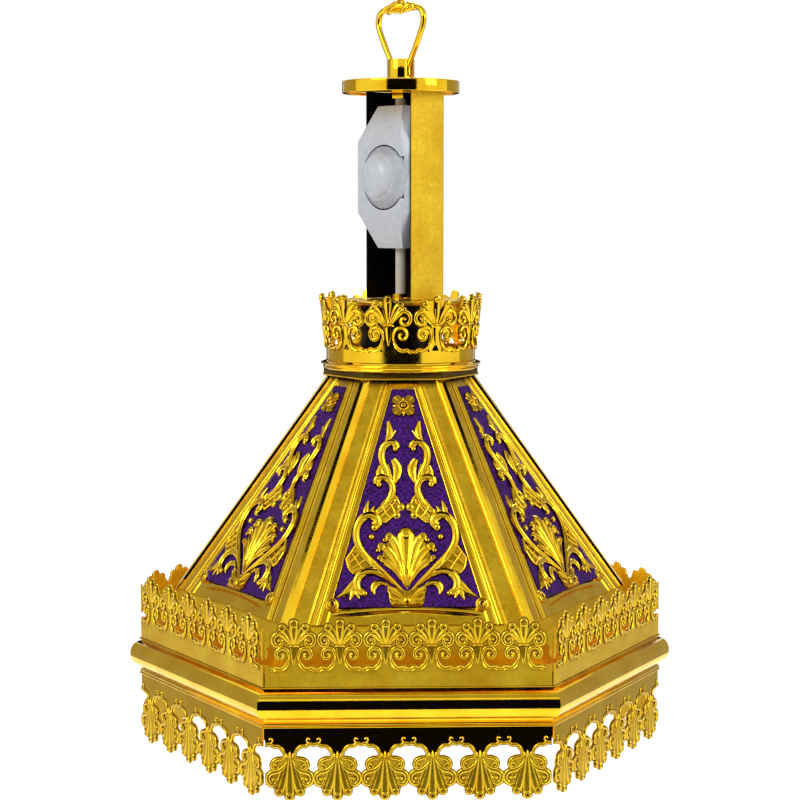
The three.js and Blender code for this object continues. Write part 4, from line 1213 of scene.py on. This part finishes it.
def close_sheet(mesh, inward):
    """Gives an open sheet a flat back and walls, so that it is a closed body."""
    build = bmesh.new()
    build.from_mesh(mesh)
    border = [edge for edge in build.edges if len(edge.link_faces) == 1]
    rims = bmesh.ops.extrude_edge_only(build, edges=border)["geom"]
    moved = {item for item in rims if isinstance(item, bmesh.types.BMVert)}
    bmesh.ops.translate(build, verts=list(moved), vec=inward)
    edges = [item for item in rims if isinstance(item, bmesh.types.BMEdge)]
    bmesh.ops.contextual_create(build, geom=[edge for edge in edges if moved.issuperset(edge.verts)])
    bmesh.ops.recalc_face_normals(build, faces=build.faces)
    build.to_mesh(mesh)
    build.free()


embossing = ground_tree()
for side in range(SIDES):
    maker = new_object("ground_maker", bpy.data.meshes.new("ground_maker"))
    grow(maker, embossing, {"Turn": side * FULL_TURN / SIDES})
    ground = merged_copy(maker, f"violet_ground_{side + 1}", violet)
    outward = (face_place(side).to_3x3() @ Vector((0, 0, 1))).normalized()
    close_sheet(ground.data, outward * -ground_thickness * MM)
    finish_mesh(ground.data, violet, 50)
    settle(ground, "lantern", "purple_enamel", f"face_panel_{side + 1}")

# %% [markdown]
# The gold relief on each panel is cast ornament: a rosette, paired leaf tips, scrolls that swing out and
# back down to a winged foot, lattice leaves, and a shell in the middle. One half is drawn stroke by
# stroke, across the face and down the slope, and mirrored. Broad scrolls have a dished back, which gives
# the double bright line along them.

# %% The panel relief
dished_strokes = {
    "inner volute": (
        [(6.4, 66.0), (8.6, 59.8), (11.3, 54.8), (12.9, 49.8), (13.0, 44.8), (11.0, 40.8), (7.6, 38.8),
         (4.9, 40.2), (4.4, 42.6)],
        [0.5, 1.2, 1.6, 1.9, 2.1, 2.0, 2.0, 2.1, 2.0], 1.8),
    "inner petal": ([(6.2, 65.2), (4.7, 60.0), (4.2, 54.6), (6.4, 49.6)], [0.5, 2.2, 2.8, 1.6], 1.5),
    "outer petal": ([(7.4, 64.6), (11.0, 61.6), (14.0, 58.2), (13.8, 53.4)], [0.5, 2.2, 2.6, 1.2], 1.4),
    "outer volute": (
        [(22.0, 85.0), (16.2, 82.4), (11.0, 78.0), (8.0, 72.6), (7.0, 67.2), (8.8, 62.8), (12.6, 60.8),
         (15.8, 62.2), (15.9, 65.0)],
        [0.9, 1.3, 1.7, 1.9, 2.0, 1.9, 1.9, 2.2, 2.1], 1.9),
    "great scroll": (
        [(17.4, 91.0), (15.8, 88.8), (16.6, 86.2), (20.2, 84.4), (24.4, 86.2), (27.4, 91.4), (27.9, 97.8),
         (26.0, 104.2), (21.4, 110.6), (14.8, 117.2), (7.8, 124.0), (1.2, 131.4)],
        [2.6, 2.6, 2.4, 2.0, 2.0, 2.1, 2.1, 2.0, 1.7, 1.3, 1.0, 0.8], 2.0),
    "lower scroll": (
        [(6.6, 126.0), (13.0, 120.4), (19.6, 118.2), (25.0, 119.6), (27.8, 123.8), (27.2, 128.6),
         (24.2, 131.2)],
        [0.9, 1.4, 1.9, 2.2, 2.3, 2.1, 1.9], 1.8),
    "crescent": (
        [(9.2, 127.2), (13.8, 124.8), (17.4, 125.8), (18.7, 128.8), (18.0, 131.6)],
        [0.4, 1.3, 1.9, 1.9, 0.6], 1.4),
    "wing top": ([(1.6, 135.0), (5.0, 132.3), (8.0, 129.8), (10.0, 128.3)], [0.5, 1.5, 1.9, 1.3], 1.8),
    "wing foot": ([(3.4, 137.4), (5.8, 136.4), (8.0, 135.0), (9.2, 134.0)], [0.5, 1.1, 1.4, 1.0], 1.6),
    "first flute": (
        [(0.8, 127.2), (2.2, 117), (3.9, 107.4), (6.4, 101.0), (8.8, 97.8)], [0.3, 1.4, 2.2, 2.6, 2.3], 1.9),
    "second flute": (
        [(1.2, 126.8), (3.8, 117), (7.0, 109.8), (10.4, 105.2), (13.2, 103.4)],
        [0.3, 1.4, 2.2, 2.5, 2.1], 1.7),
    "third flute": (
        [(0.9, 126.8), (4.3, 119.6), (8.3, 114.8), (11.7, 111.9), (14.2, 110.8)],
        [0.3, 1.4, 1.8, 1.9, 1.5], 1.5),
}
round_strokes = {
    "leaf tip": ([(11.6, 41.0), (9.4, 36.6), (8.2, 31.5), (8.9, 25.4)], [0.7, 1.7, 2.2, 1.0], 1.4),
    "leaf side": ([(10.8, 39.0), (8.0, 35.2), (4.9, 31.2)], [0.6, 1.5, 0.6], 1.2),
    "middle petal": ([(6.8, 64.8), (8.2, 60.6), (9.2, 56.4), (9.6, 52.6)], [0.4, 1.5, 1.8, 0.8], 1.3),
    "upright leaf": ([(23.0, 85.6), (22.2, 80.2), (20.9, 75.4)], [1.3, 1.9, 0.6], 1.4),
    "side leaf": ([(20.8, 84.6), (19.0, 81.2), (17.7, 78.6)], [1.1, 1.5, 0.5], 1.2),
    "acanthus tip": ([(27.6, 122.0), (30.6, 127.0), (34.2, 130.8), (39.0, 133.4)], [1.3, 2.6, 2.2, 0.3], 1.5),
    "acanthus leaf": ([(28.0, 124.0), (29.8, 129.8), (31.6, 135.0)], [1.3, 2.3, 0.4], 1.4),
    "acanthus curl": ([(27.4, 126.4), (27.6, 130.6), (26.6, 134.0)], [1.1, 1.8, 0.6], 1.2),
    "foot": ([(0.0, 138.2), (4.4, 138.1), (8.4, 137.9)], [1.1, 1.1, 1.0], 1.4),
    "shell rim": ([(0.8, 127.6), (2.9, 122.4), (6.5, 118.1), (12.6, 113.8)], [0.3, 0.7, 0.8, 0.5], 1.3),
}
relief_dots = [((9.4, 97.4), 2.9, 2.1), ((11.9, 99.6), 1.5, 1.9), ((14.0, 103.2), 2.7, 1.9)]
relief_dots += [((15.8, 105.8), 1.4, 1.7), ((14.8, 110.2), 2.0, 1.7)]
relief_balls = [((19.4, 97.4), 2.1, 2.2), ((5.2, 42.8), 2.0, 2.0), ((14.8, 65.2), 2.1, 2.1)]
relief_balls += [((17.6, 91.6), 2.6, 2.2), ((23.4, 131.2), 2.0, 1.9), ((2.6, 78.8), 2.9, 1.6)]
relief_balls += [((5.0, 83.8), 2.7, 1.5), ((5.0, 75.0), 2.3, 1.4)]
upper_lattice = [(8.0, 70.6), (16.0, 81.4), (11.6, 88.6), (2.6, 80.4)]
lower_lattice = [(28.6, 102.8), (33.4, 110.2), (29.4, 119.4), (19.2, 114.4)]
shell_outline = [(0, 95), (7.4, 97), (12.6, 102.4), (14.0, 110.4), (6.4, 118.4), (0, 128.4)]
calyx_outline = [(0, 129.6), (4.4, 128.4), (10.8, 126.2), (11.2, 129.4), (10.2, 131.8), (10.2, 134.6)]
calyx_outline += [(8.8, 139.0), (0, 139.2)]


def pad(outline, height):
    """A flat raised form with sides that slope in to its top. Its top has a low level, so it takes some
    painted shade.
    """
    outline = np.asarray(outline, float)
    middle = outline.mean(axis=0)
    rings = []
    for share, z in ((1.0, base), (0.97, 0.7 * height), (0.9, height)):
        rings.append(np.column_stack([middle + (outline - middle) * share, np.full(len(outline), z)]))
    return lofted(rings, np.repeat([0.0, 0.1, 0.34], len(outline)))


def lattice_leaf(corners, rows, columns):
    """A plump leaf between four corners, crossed by raised lines that leave square cells."""
    first, second, third, fourth = (np.array(corner) for corner in corners)

    def inside(u, v):
        swell = 1.0 + 0.25 * math.sin(math.pi * v)
        place = (first * (1 - u) + second * u) * (1 - v) + (fourth * (1 - u) + third * u) * v
        middle = (first + second) / 2 * (1 - v) + (fourth + third) / 2 * v
        return tuple(middle + (place - middle) * swell)

    edge = [inside(0, v) for v in np.linspace(0, 1, 6)] + [inside(1, v) for v in np.linspace(1, 0, 6)]
    parts = [pad(edge, 0.6)]
    for v in np.linspace(0, 1, rows + 1):
        parts.append(ridge([inside(u, v) for u in (0, 0.5, 1)], [0.8, 0.8], 1.3))
    for u in np.linspace(0, 1, columns + 1):
        parts.append(ridge([inside(u, v) for v in np.linspace(0, 1, 5)], [0.8, 0.8], 1.3, steps=3))
    return parts


def whole_outline(half):
    """The right half of an outline, from top to foot, closed by its mirror image."""
    return half + [(-x, y) for x, y in half[-2:0:-1]]


def rosette():
    """Four broad petals on the diagonals, four small leaves between them, and a ring round a pit."""
    centre = (0, 15.3)

    def at(angle, reach):
        return centre[0] + reach * math.cos(angle), centre[1] + reach * math.sin(angle)

    petal_shape = [(-0.72, 2.4), (-0.62, 5.0), (-0.46, 7.2), (-0.12, 8.0), (0.12, 8.0), (0.46, 7.2)]
    petal_shape += [(0.62, 5.0), (0.72, 2.4)]
    parts = []
    for leaf_angle in np.arange(4) * math.pi / 2:
        angle = leaf_angle + math.pi / 4
        parts.append(pad([at(angle + turn, reach) for turn, reach in petal_shape], 1.3))
        parts.append(ridge([at(angle, reach) for reach in (3, 5, 7.4)], [0.3, 0.5, 0.7], 1.8))
        parts.append(ridge([at(leaf_angle, reach) for reach in (2.6, 4.6, 6.2)], [0.9, 1.2, 0.4], 1.1))
    ring = [at(turn, 2.7) for turn in np.linspace(0, FULL_TURN, 13)]
    return parts + [ridge(ring, [0.7, 0.7], 2.1, steps=2), pitted_dome(centre, 1.9, 2.1, lobe_segments)]


def relief_parts():
    """All strokes, drawn with the distance down the slope and turned over at the end: a face's Y runs up."""
    half = [ridge(*stroke, back=dished_back) for stroke in dished_strokes.values()]
    half += [ridge(*stroke) for stroke in round_strokes.values()]
    half += [pitted_dome(*dot) for dot in relief_dots] + [dome(*ball) for ball in relief_balls]
    half += lattice_leaf(upper_lattice, 2, 3) + lattice_leaf(lower_lattice, 3, 2)
    shell_rib = [(0, 128.4), (0, 116), (0, 105), (0, 96.4)]
    middle = [
        pad(whole_outline(shell_outline), 0.9),
        ridge(shell_rib, [0.4, 1.4, 3.6, 4.8], 2.3, back=dished_back),
        dome((0, 96.0), 4.9, 2.2, 24),
        pad(whole_outline(calyx_outline), 0.9),
        dome((0, 135.2), 3.0, 2.2, 18),
    ]
    return [flipped(part, (1, -1, 1)) for part in both_sides(half) + middle + rosette()]


relief_foot = 1.25  # the relief stands this far over the flat face, on the ground
relief = [(verts + (0, 0, relief_foot), faces, level) for verts, faces, level in relief_parts()]
for side in range(SIDES):
    made = make_object(f"panel_relief_{side + 1}", relief, carved, face_place(side))
    settle(made, "lantern", "polished_gold", f"face_panel_{side + 1}")

# %% [markdown]
# A trim covers each corner: a sheet folded to the two faces, with a raised roof of two narrow flats along
# its ridge. The flats are polished and the wings are satin, so the roof draws a bright line beside a dark
# one. A section is drawn level at seven heights, and the trim runs straight from one to the next.

# %% Corner trims
roof_rise, roof_wide, roof_turn = 1.0, 3.0, math.radians(11.8)
roof_edges = 3  # of the section, on either side of the ridge
trim_top = -4.6  # tucked up behind the crown's skirt
trim_downs = [trim_top, -2, 5, 40, 80, 120, plate_length]


def trim_section(down):
    corner = corner_at(down)
    wide = wing_width(down)
    sheet = plate_thickness / lean_cos
    fold_x, fold_y = math.cos(math.pi / 3), math.sin(math.pi / 3)
    slant_x, slant_y = math.sin(roof_turn) * roof_wide, math.cos(roof_turn) * roof_wide
    ridge_x = corner + roof_rise
    half = [(ridge_x - slant_x * share, slant_y * share) for share in (0, 0.94)]
    half += [(ridge_x - slant_x - 0.25, slant_y + 0.08), (corner - fold_x * 3.8, fold_y * 3.8)]
    half += [(corner - fold_x * wide * share, fold_y * wide * share) for share in (0.5, 0.9)]
    rim = wide * 0.965
    half.append((corner - fold_x * rim + 0.35 * fold_y, fold_y * rim + 0.35 * fold_x))
    half.append((corner - fold_x * wide, fold_y * wide))
    half.append((corner - fold_x * wide - sheet * fold_y, fold_y * wide - sheet * fold_x))
    fold = [(corner - sheet * corner_ratio, 0)]
    height = shade_top_z - down * lean_cos
    return [(x, y, height) for x, y in half + fold + [(x, -y) for x, y in half[:0:-1]]]


sections = [trim_section(down) for down in trim_downs]
section_edges = len(sections[0])


def on_the_roof(face):
    """The two caps come first among the faces, and then the edges of each section in turn."""
    edge = (face.index - 2) % section_edges
    return face.index > 1 and not roof_edges <= edge < section_edges - roof_edges


trim = lofted(sections, hood_level(np.repeat(trim_downs, section_edges)))
for side in range(SIDES):
    turn = side_turn(side) @ Matrix.Rotation(-math.pi / 2 + math.pi / SIDES, 4, "Z")
    made = make_object(f"corner_bead_{side + 1}", [trim], satin, turn, sharp=12)
    second_finish(made, polished, on_the_roof)
    settle(made, "lantern", "polished_gold", f"corner_trim_{side + 1}")

# %% [markdown]
# Twelve eyelets pin the panels' lower corners: a gold washer with a rolled edge round a hollow rivet, painted
# dark inside as shade. The pair of one face is made, and Geometry Nodes copy it about the axis, once for each
# face.

# %% Eyelets
eyelet_outline = [(0, 0.2), (3.9, 0.2), (4.0, 1.0), (3.7, 1.6), (3.1, 1.9), (2.4, 1.6)]
eyelet_outline += [(2.1, 2.1), (1.7, 2.4), (1.3, 2.2), (1.1, 1.2), (1.05, 0.7), (0, 0.6)]
# Level 0 in the rivet's hollow paints it dark, as shade
eyelet_levels = [0.6] * 5 + [0.2, 0.6, 1.0, 0.6, 0.0, 0.0, 0.0]
eyelet_across, eyelet_down, eyelet_segments = panel_bottom_half - 0.2, 137.4, 24


def eyelet_tree():
    tree, given, output = new_tree("eyelets round the shade", {"Count": 6}, ["Eyelet"])
    count = given["Count"]
    points = add_node(tree, "GeometryNodeMeshLine", {"Count": count, "Offset": (0.0, 0.0, 0.0)})
    copies = copies_on(tree, points, given["Eyelet"], Rotation=turn_of_each(tree, count))
    return end_tree(tree, copies, output, cast)


def eyelet_ring():
    verts, faces, level = swept(eyelet_outline, eyelet_segments, levels=eyelet_levels)
    pair = [(verts + (side * eyelet_across, -eyelet_down, 0), faces, level) for side in (-1, 1)]
    unit = make_object("eyelet_pair", pair, cast, face_place(0), sewn=True)
    maker = new_object("eyelet_maker", bpy.data.meshes.new("eyelet_maker"))
    grow(maker, eyelet_tree(), {"Count": SIDES, "Eyelet": unit})
    settle(merged_copy(maker, "panel_eyelets", cast), "lantern", "polished_gold")
    bpy.data.objects.remove(unit)


eyelet_ring()

# %% [markdown]
# The neck is a channel of bent sheet, open to the front left, and the dimmer hangs in it on its cable.
# Both are drawn in the neck's own frame, which is turned by 51 degrees. The bends of the channel have a
# real inside radius, so its edges catch a thin line of light. Its inside is painted black as the shade in
# the channel, a second material on the same sheet.

# %% Channel neck
neck_turn = math.radians(-51)
neck_place = Matrix.Rotation(neck_turn, 4, "Z")
neck_half, neck_open_y, neck_web_y, neck_sheet, neck_bend = 20.6, -9.8, 16.7, 1.0, 1.6
neck_top_z, neck_bottom_z = -45.2, -168.7


def mirrored_back(points):
    """The points on the other side of the Y axis, in the opposite order."""
    return [(-x, y) for x, y in reversed(points)]


bend_y = neck_web_y - neck_bend
outer_half = [(neck_half - 0.25, neck_open_y), (neck_half, neck_open_y + 0.25), (neck_half, bend_y)]
outer_half += arc((neck_half - neck_bend, bend_y), neck_bend, 10, 90, 7)
inner_bend = arc((-neck_half + neck_bend, bend_y), neck_bend - neck_sheet, 90, 180, 5)
lip = [(-neck_half + neck_sheet, neck_open_y + 0.25), (-neck_half + neck_sheet - 0.25, neck_open_y)]
inner_half = lip[::-1] + inner_bend[::-1]
outer = outer_half + mirrored_back(outer_half)
section = outer + inner_half + mirrored_back(inner_half)


def shaded_inside_of_neck(face):
    return face.index > 1 and (face.index - 2) % len(section) >= len(outer) - 1


neck_rings = [[(x, y, z) for x, y in section] for z in np.linspace(neck_bottom_z, neck_top_z, 12)]
neck_levels = np.full(len(neck_rings) * len(section), 0.6)
channel = make_object("neck_sheet", [lofted(neck_rings, neck_levels)], brushed, neck_place, sharp=30)
# Painted shade: the faces inside the channel take the black iron
second_finish(channel, dark_metal, shaded_inside_of_neck)
settle(channel, "lantern", "polished_gold", "neck_channel")

# %% [markdown]
# The cord dimmer's case is moulded in two halves with tapered ends. Each half starts as the hull of its
# corner points and has its edges rounded by a bevel. A round recess and a notch are cut in the front
# for the wheel, by a boolean, before the rounding.

# %% Dimmer case
knob_x, knob_z = 4.5, -96.7
recess_floor_y = -14.2
recess_radius, notch_half = 19.2, 9.6
cable_hole_radius, shaft_hole_radius = 3.5, 3.3
case_wall = 1.8
case_half, case_end_half = 19.3, 11.2
case_top_z, case_shoulder_z, case_hip_z, case_foot_z = -54.3, -75.3, -117.4, -138.4


def hull_mesh(name, points):
    build = bmesh.new()
    for point in points:
        build.verts.new(point)
    bmesh.ops.convex_hull(build, input=build.verts)
    bmesh.ops.dissolve_limit(build, angle_limit=0.01, verts=build.verts, edges=build.edges)
    bmesh.ops.recalc_face_normals(build, faces=build.faces)
    mesh = bpy.data.meshes.new(name)
    build.to_mesh(mesh)
    build.free()
    return new_object(name, mesh)


def box_points(xs, ys, zs):
    return [(x, y, z) for x in xs for y in ys for z in zs]


def case_points(middle_y, end_y, seam_y, inset=0.0):
    wide, narrow = case_half - inset, case_end_half - inset
    points = []
    for z, half, y in (
        (case_top_z - inset, narrow, end_y),
        (case_shoulder_z, wide, middle_y),
        (case_hip_z, wide, middle_y),
        (case_foot_z + inset, narrow, end_y),
    ):
        points += box_points((-half, half), (y, seam_y), (z,))
    return points


def turned_body(name, outline, segments, material):
    """A turned body that is still in millimetres, for cutting."""
    body = make_object(name, [swept(outline, segments)], material, sewn=True)
    body.data.transform(Matrix.Scale(1 / MM, 4))
    return body


def round_bar(name, start, end, radius, segments=64):
    along = Vector(end) - Vector(start)
    outline = [(0, 0), (radius, 0), (radius, along.length), (0, along.length)]
    bar = turned_body(name, outline, segments, polished)
    turn = Vector((0, 0, 1)).rotation_difference(along.normalized()).to_matrix().to_4x4()
    bar.data.transform(Matrix.Translation(start) @ turn)
    return bar


def cut_and_round(body, tools, bevel, name, material, shaded=None):
    """Cuts the tools from the body, rounds its sharp edges, and brings it to its place in metres.

    shaded may be a function that says which faces, still in millimetres, are black inside.
    """
    for tool in tools:
        boolean = body.modifiers.new("cut", "BOOLEAN")
        boolean.operation = "DIFFERENCE"
        boolean.object = tool
    rounding = body.modifiers.new("round", "BEVEL")
    rounding.width = bevel
    rounding.segments = 3
    rounding.limit_method = "ANGLE"
    rounding.angle_limit = math.radians(25)
    piece = merged_copy(body, name, material, 30)
    for tool in tools:
        bpy.data.objects.remove(tool)
    if shaded:
        second_finish(piece, black_plastic, shaded)
    piece.data.transform(Matrix.Scale(MM, 4) @ neck_place)
    return piece


def in_recess(face):
    """The recess under the wheel and the notch lie in shadow, so their faces are black."""
    middle = face.center
    away = math.hypot(middle.x - knob_x, middle.z - knob_z)
    in_notch = middle.x > knob_x and abs(middle.z - knob_z) < notch_half + 0.1
    return -16.6 < middle.y < recess_floor_y + 0.2 and (away < recess_radius + 0.3 or in_notch)


def cable_hole():
    return round_bar("cable_hole", (0, 0, -145), (0, 0, -50), cable_hole_radius, 32)


notch = box_points((knob_x + 13, 21), (-19, recess_floor_y), (knob_z - notch_half, knob_z + notch_half))
front_case = hull_mesh("front_case", case_points(-17.2, -8.2, -0.15))
front_tools = [
    hull_mesh("front_hollow", case_points(-12.4, -6.4, 2, case_wall)),
    round_bar("recess", (knob_x, -19, knob_z), (knob_x, recess_floor_y, knob_z), recess_radius),
    hull_mesh("notch", notch),
    round_bar("shaft_hole", (knob_x, -16, knob_z), (knob_x, 1, knob_z), shaft_hole_radius, 32),
    cable_hole(),
]
case_front = cut_and_round(front_case, front_tools, 0.4, "case_front_shell", pale_plastic, in_recess)
settle(case_front, "lantern", "pale_plastic", "dimmer_case_front")

back_case = hull_mesh("back_case", case_points(12, 8, 0.15))
back_tools = [hull_mesh("back_hollow", case_points(10.2, 6.2, -2, case_wall)), cable_hole()]
case_back = cut_and_round(back_case, back_tools, 0.9, "case_back_shell", pale_plastic)
settle(case_back, "lantern", "pale_plastic", "dimmer_case_back")

# %% [markdown]
# The dimmer's wheel is a smooth cap on a cone with fine ribs. Geometry Nodes stand the ribs round it:
# one rib is set on each point of a circle, turned with the circle, and joined to the turned dome.

# %% Dimmer wheel
wheel_radius, wheel_ribs = 18.0, 96
wheel_outline = [(0, 0), (17.6, 0), (wheel_radius, 0.4), (wheel_radius, 2.9), (16.8, 4.2), (14.8, 6.2)]
wheel_outline += [(13.1, 8.3), (12.6, 8.2), (12.3, 8.8), (11.4, 10.3), (10.0, 11.5), (8.0, 12.4)]
wheel_outline += [(5.4, 13.0), (2.8, 13.3), (0, 13.4)]
rib_profile = [(-4.6, 8.0), (-1.0, 4.5), (0.35, 3.0), (0.35, 0.5), (-0.5, 0.3), (-4.6, 7.4)]
rib_half = 0.24


def wheel_tree():
    numbers = {"Count": wheel_ribs, "Radius": wheel_radius}
    tree, given, output = new_tree("ribs round a wheel", numbers, ["Rib"])
    inputs = {"Vertices": given["Count"], "Radius": given["Radius"]}
    circle = add_node(tree, "GeometryNodeMeshCircle", inputs)
    copies = copies_on(tree, circle, given["Rib"], Rotation=turn_of_each(tree, given["Count"]))
    return end_tree(tree, together(tree, given["Geometry"].socket, copies), output, pale_plastic)


def wheel_piece():
    body = turned_body("wheel_body", wheel_outline, 96, pale_plastic)
    rib = hull_mesh("rib", [(x, y, z) for x, z in rib_profile for y in (-rib_half, rib_half)])
    grow(body, wheel_tree(), {"Count": wheel_ribs, "Radius": wheel_radius, "Rib": rib})
    piece = merged_copy(body, "wheel_dome", pale_plastic, 32)
    bpy.data.objects.remove(rib)
    stand = Matrix.Translation((knob_x, recess_floor_y - 0.3, knob_z))
    stand = stand @ Matrix.Rotation(math.pi / 2, 4, "X")
    piece.data.transform(Matrix.Scale(MM, 4) @ neck_place @ stand)
    settle(piece, "dimmer_wheel", "pale_plastic", "dimmer_knob")


wheel_piece()

# %% [markdown]
# The hanging loop is one bent wire, and its top is dressed with a twist: two strands wind about each
# other over the middle, a riser and a small ring lie on them, and a bridge with two collars leads to the
# right leg. The wire is a tube along a smooth line, made of rings that stay square to it. The boss under
# it is a short turned cylinder with a slot on either side for the loop's feet.


# %% Loop and boss
def tube(points, radii, steps=8, segments=16, flat=1.0, winding=None):
    """A closed round bar along a smooth line in the XZ plane. flat squeezes it across that plane.

    winding is a distance, a number of turns and a phase: the bar then winds about the line.
    """
    line = smooth_line(points, steps)
    radius = spread_along(line, radii)
    along = unit_steps(line)
    side = np.stack([along[:, 1], -along[:, 0]], 1)
    middle_y = np.zeros(len(line))
    if winding:
        distance, turns, phase = winding
        angle = FULL_TURN * (turns * np.linspace(0, 1, len(line)) + phase)
        line = line + side * (distance * np.sin(angle))[:, None]
        middle_y = distance * np.cos(angle)
    rings = []
    for angle in np.arange(segments) * FULL_TURN / segments:
        place = line + side * (math.cos(angle) * radius)[:, None]
        rings.append(np.stack([place[:, 0], middle_y + math.sin(angle) * radius * flat, place[:, 1]], 1))
    return lofted(np.stack(rings, 1), np.full(len(line) * segments, 0.7))


foot_x, pin_z = 6.75, -35
loop_leg = [(0, 1.65), (8, 2.45), (15.15, 2.85), (19.65, -0.55), (19.95, -6.95), (15.6, -16), (10.4, -25)]
loop_leg += [(foot_x, -31), (foot_x, -36.4)]
loop_route = mirrored_back(loop_leg[1:]) + loop_leg


def loop_parts():
    parts = [tube(loop_route, [1.55, 1.6, 1.7, 1.8, 1.5, 1.8, 1.7, 1.6, 1.55])]
    twist = [(-13.5, 2.4), (-9, 3.2), (-3.6, 3.6), (1.6, 3.0), (6.4, 4.0)]
    for phase in (0.1, 0.6):
        parts.append(tube(twist, [1.2, 1.7, 1.9, 1.7, 1.2], 12, winding=(1.5, 0.9, phase)))
    riser = [(-11.5, 3.6), (-8, 5.4), (-4.6, 6.6), (-2.2, 6.4)]
    parts.append(tube(riser, [0.8, 1.3, 1.3, 0.9]))
    parts.append(tube(arc((-0.4, 5.9), 2.7, -150, 190, 18, 1.75), [1.05, 1.1, 0.9], 3, 12, flat=1.3))
    bridge = [(2.4, 5.6), (4.6, 4.6), (6.8, 4.8), (9.4, 4.4), (12.2, 3.6), (15, 3.0)]
    parts.append(tube(bridge, [1.1, 1.5, 1.7, 1.5, 1.5, 1.3]))
    for x, z, size in ((7.2, 4.0, 2.7), (12.6, 3.2, 2.3)):
        parts.append(tube([(x + shift, z) for shift in (-1.5, 0, 1.5)], [size - 0.9, size, size - 0.9], 4))
    for side in (-1, 1):
        parts.append(tube([(side * x, pin_z) for x in (foot_x, 5.2, 3.8)], [1.5, 1.5]))
    return parts


loop = make_object("loop_with_leaves", loop_parts(), polished, neck_place, sharp=60)
settle(loop, "loop", "polished_gold", "hanging_loop")

boss_radius, boss_top_z = 8.1, -26.7
boss_foot_z = disc_seat_z + 0.3
boss_outline = [(3.4, boss_foot_z), (boss_radius - 0.2, boss_foot_z), (boss_radius, boss_foot_z + 0.2)]
boss_outline += [(boss_radius, boss_top_z - 0.5), (boss_radius - 0.15, boss_top_z - 0.15)]
boss_outline += [(boss_radius - 0.5, boss_top_z), (3.7, boss_top_z), (3.4, boss_top_z - 0.3)]
boss_body = turned_body("boss_body", boss_outline, 72, polished)
slot_ends = ((-10, -4.9), (4.9, 10))
slot_half, slot_foot_z = 2.3, -37.4
slot_ys, slot_zs = (-slot_half, slot_half), (slot_foot_z, boss_top_z + 1.7)
slots = [hull_mesh("slot", box_points(xs, slot_ys, slot_zs)) for xs in slot_ends]
boss = cut_and_round(boss_body, slots, 0.25, "boss_with_slots", polished)
settle(boss, "lantern", "polished_gold", "loop_boss")

# %% [markdown]
# The cables are round and smooth, and run inside the neck and the tube all the way. The lampholder and
# the bulb only show from below, but they are turned as finely as the rest.

# %% Cables, lampholder and bulb
cable_radius = 3.2
for name, node, high, low in (
    ("upper_lead", "cable_upper", -27.7, -59.3),
    ("lower_lead", "cable_lower", -133.4, -234),
):
    lead = [(0, low), (cable_radius - 0.3, low), (cable_radius, low + 0.3), (cable_radius, high - 0.3)]
    lead += [(cable_radius - 0.3, high), (0, high)]
    turned_piece(name, lead, sheath, "cable_sheath", node, 40)

holder_cap = [(5.6, -237.6), (8, -237.6), (17.6, -246.8), (17.6, -252), (19, -252), (19, -246)]
holder_cap += [(9, -236), (8.5, -229), (5.6, -229)]
holder_body = [(2, -255), (14.2, -255), (14.2, -286), (19.5, -286), (20.5, -270), (20.5, -262)]
holder_body += [(19, -262), (19, -252.3), (2, -252.3)]
holder_ring = [(20.8, -269), (24.0, -269), (24.5, -268.5), (24.5, -263.5), (24.0, -263), (20.8, -263)]
for part, outline in (("cap", holder_cap), ("body", holder_body), ("ring", holder_ring)):
    turned_piece(f"holder_{part}", outline, black_plastic, "black_plastic", f"lampholder_{part}", 64)
bulb_outline = [(0, -375)] + arc((0, -345), 30, -72, 15, 16)
bulb_outline += [(26.5, -327), (20.5, -314), (16.2, -300), (14.2, -290), (13.4, -284.3), (0, -284.3)]
turned_piece("bulb_globe", bulb_outline, opal, "frosted_glass", "bulb_glass", 64)

# %% [markdown]
# What stays as it is in the solid model, the nuts, the shell behind the plates and a few inner pieces,
# only needs its finish.

# %% Finishes of the kept solids
finishes = {
    "boss_nut": polished,
    "tube_nut_upper": polished,
    "tube_nut_lower": polished,
    "shade_cap_plate": dark_metal,
    "shade_shell": lining,
    "dimmer_shaft": steel,
    "dimmer_circuit": board,
    "bulb_cap": steel,
}
for name, finish in finishes.items():
    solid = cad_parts[name]
    solid.data.materials.clear()
    solid.data.materials.append(finish)
    print(name, "in", finish.name)
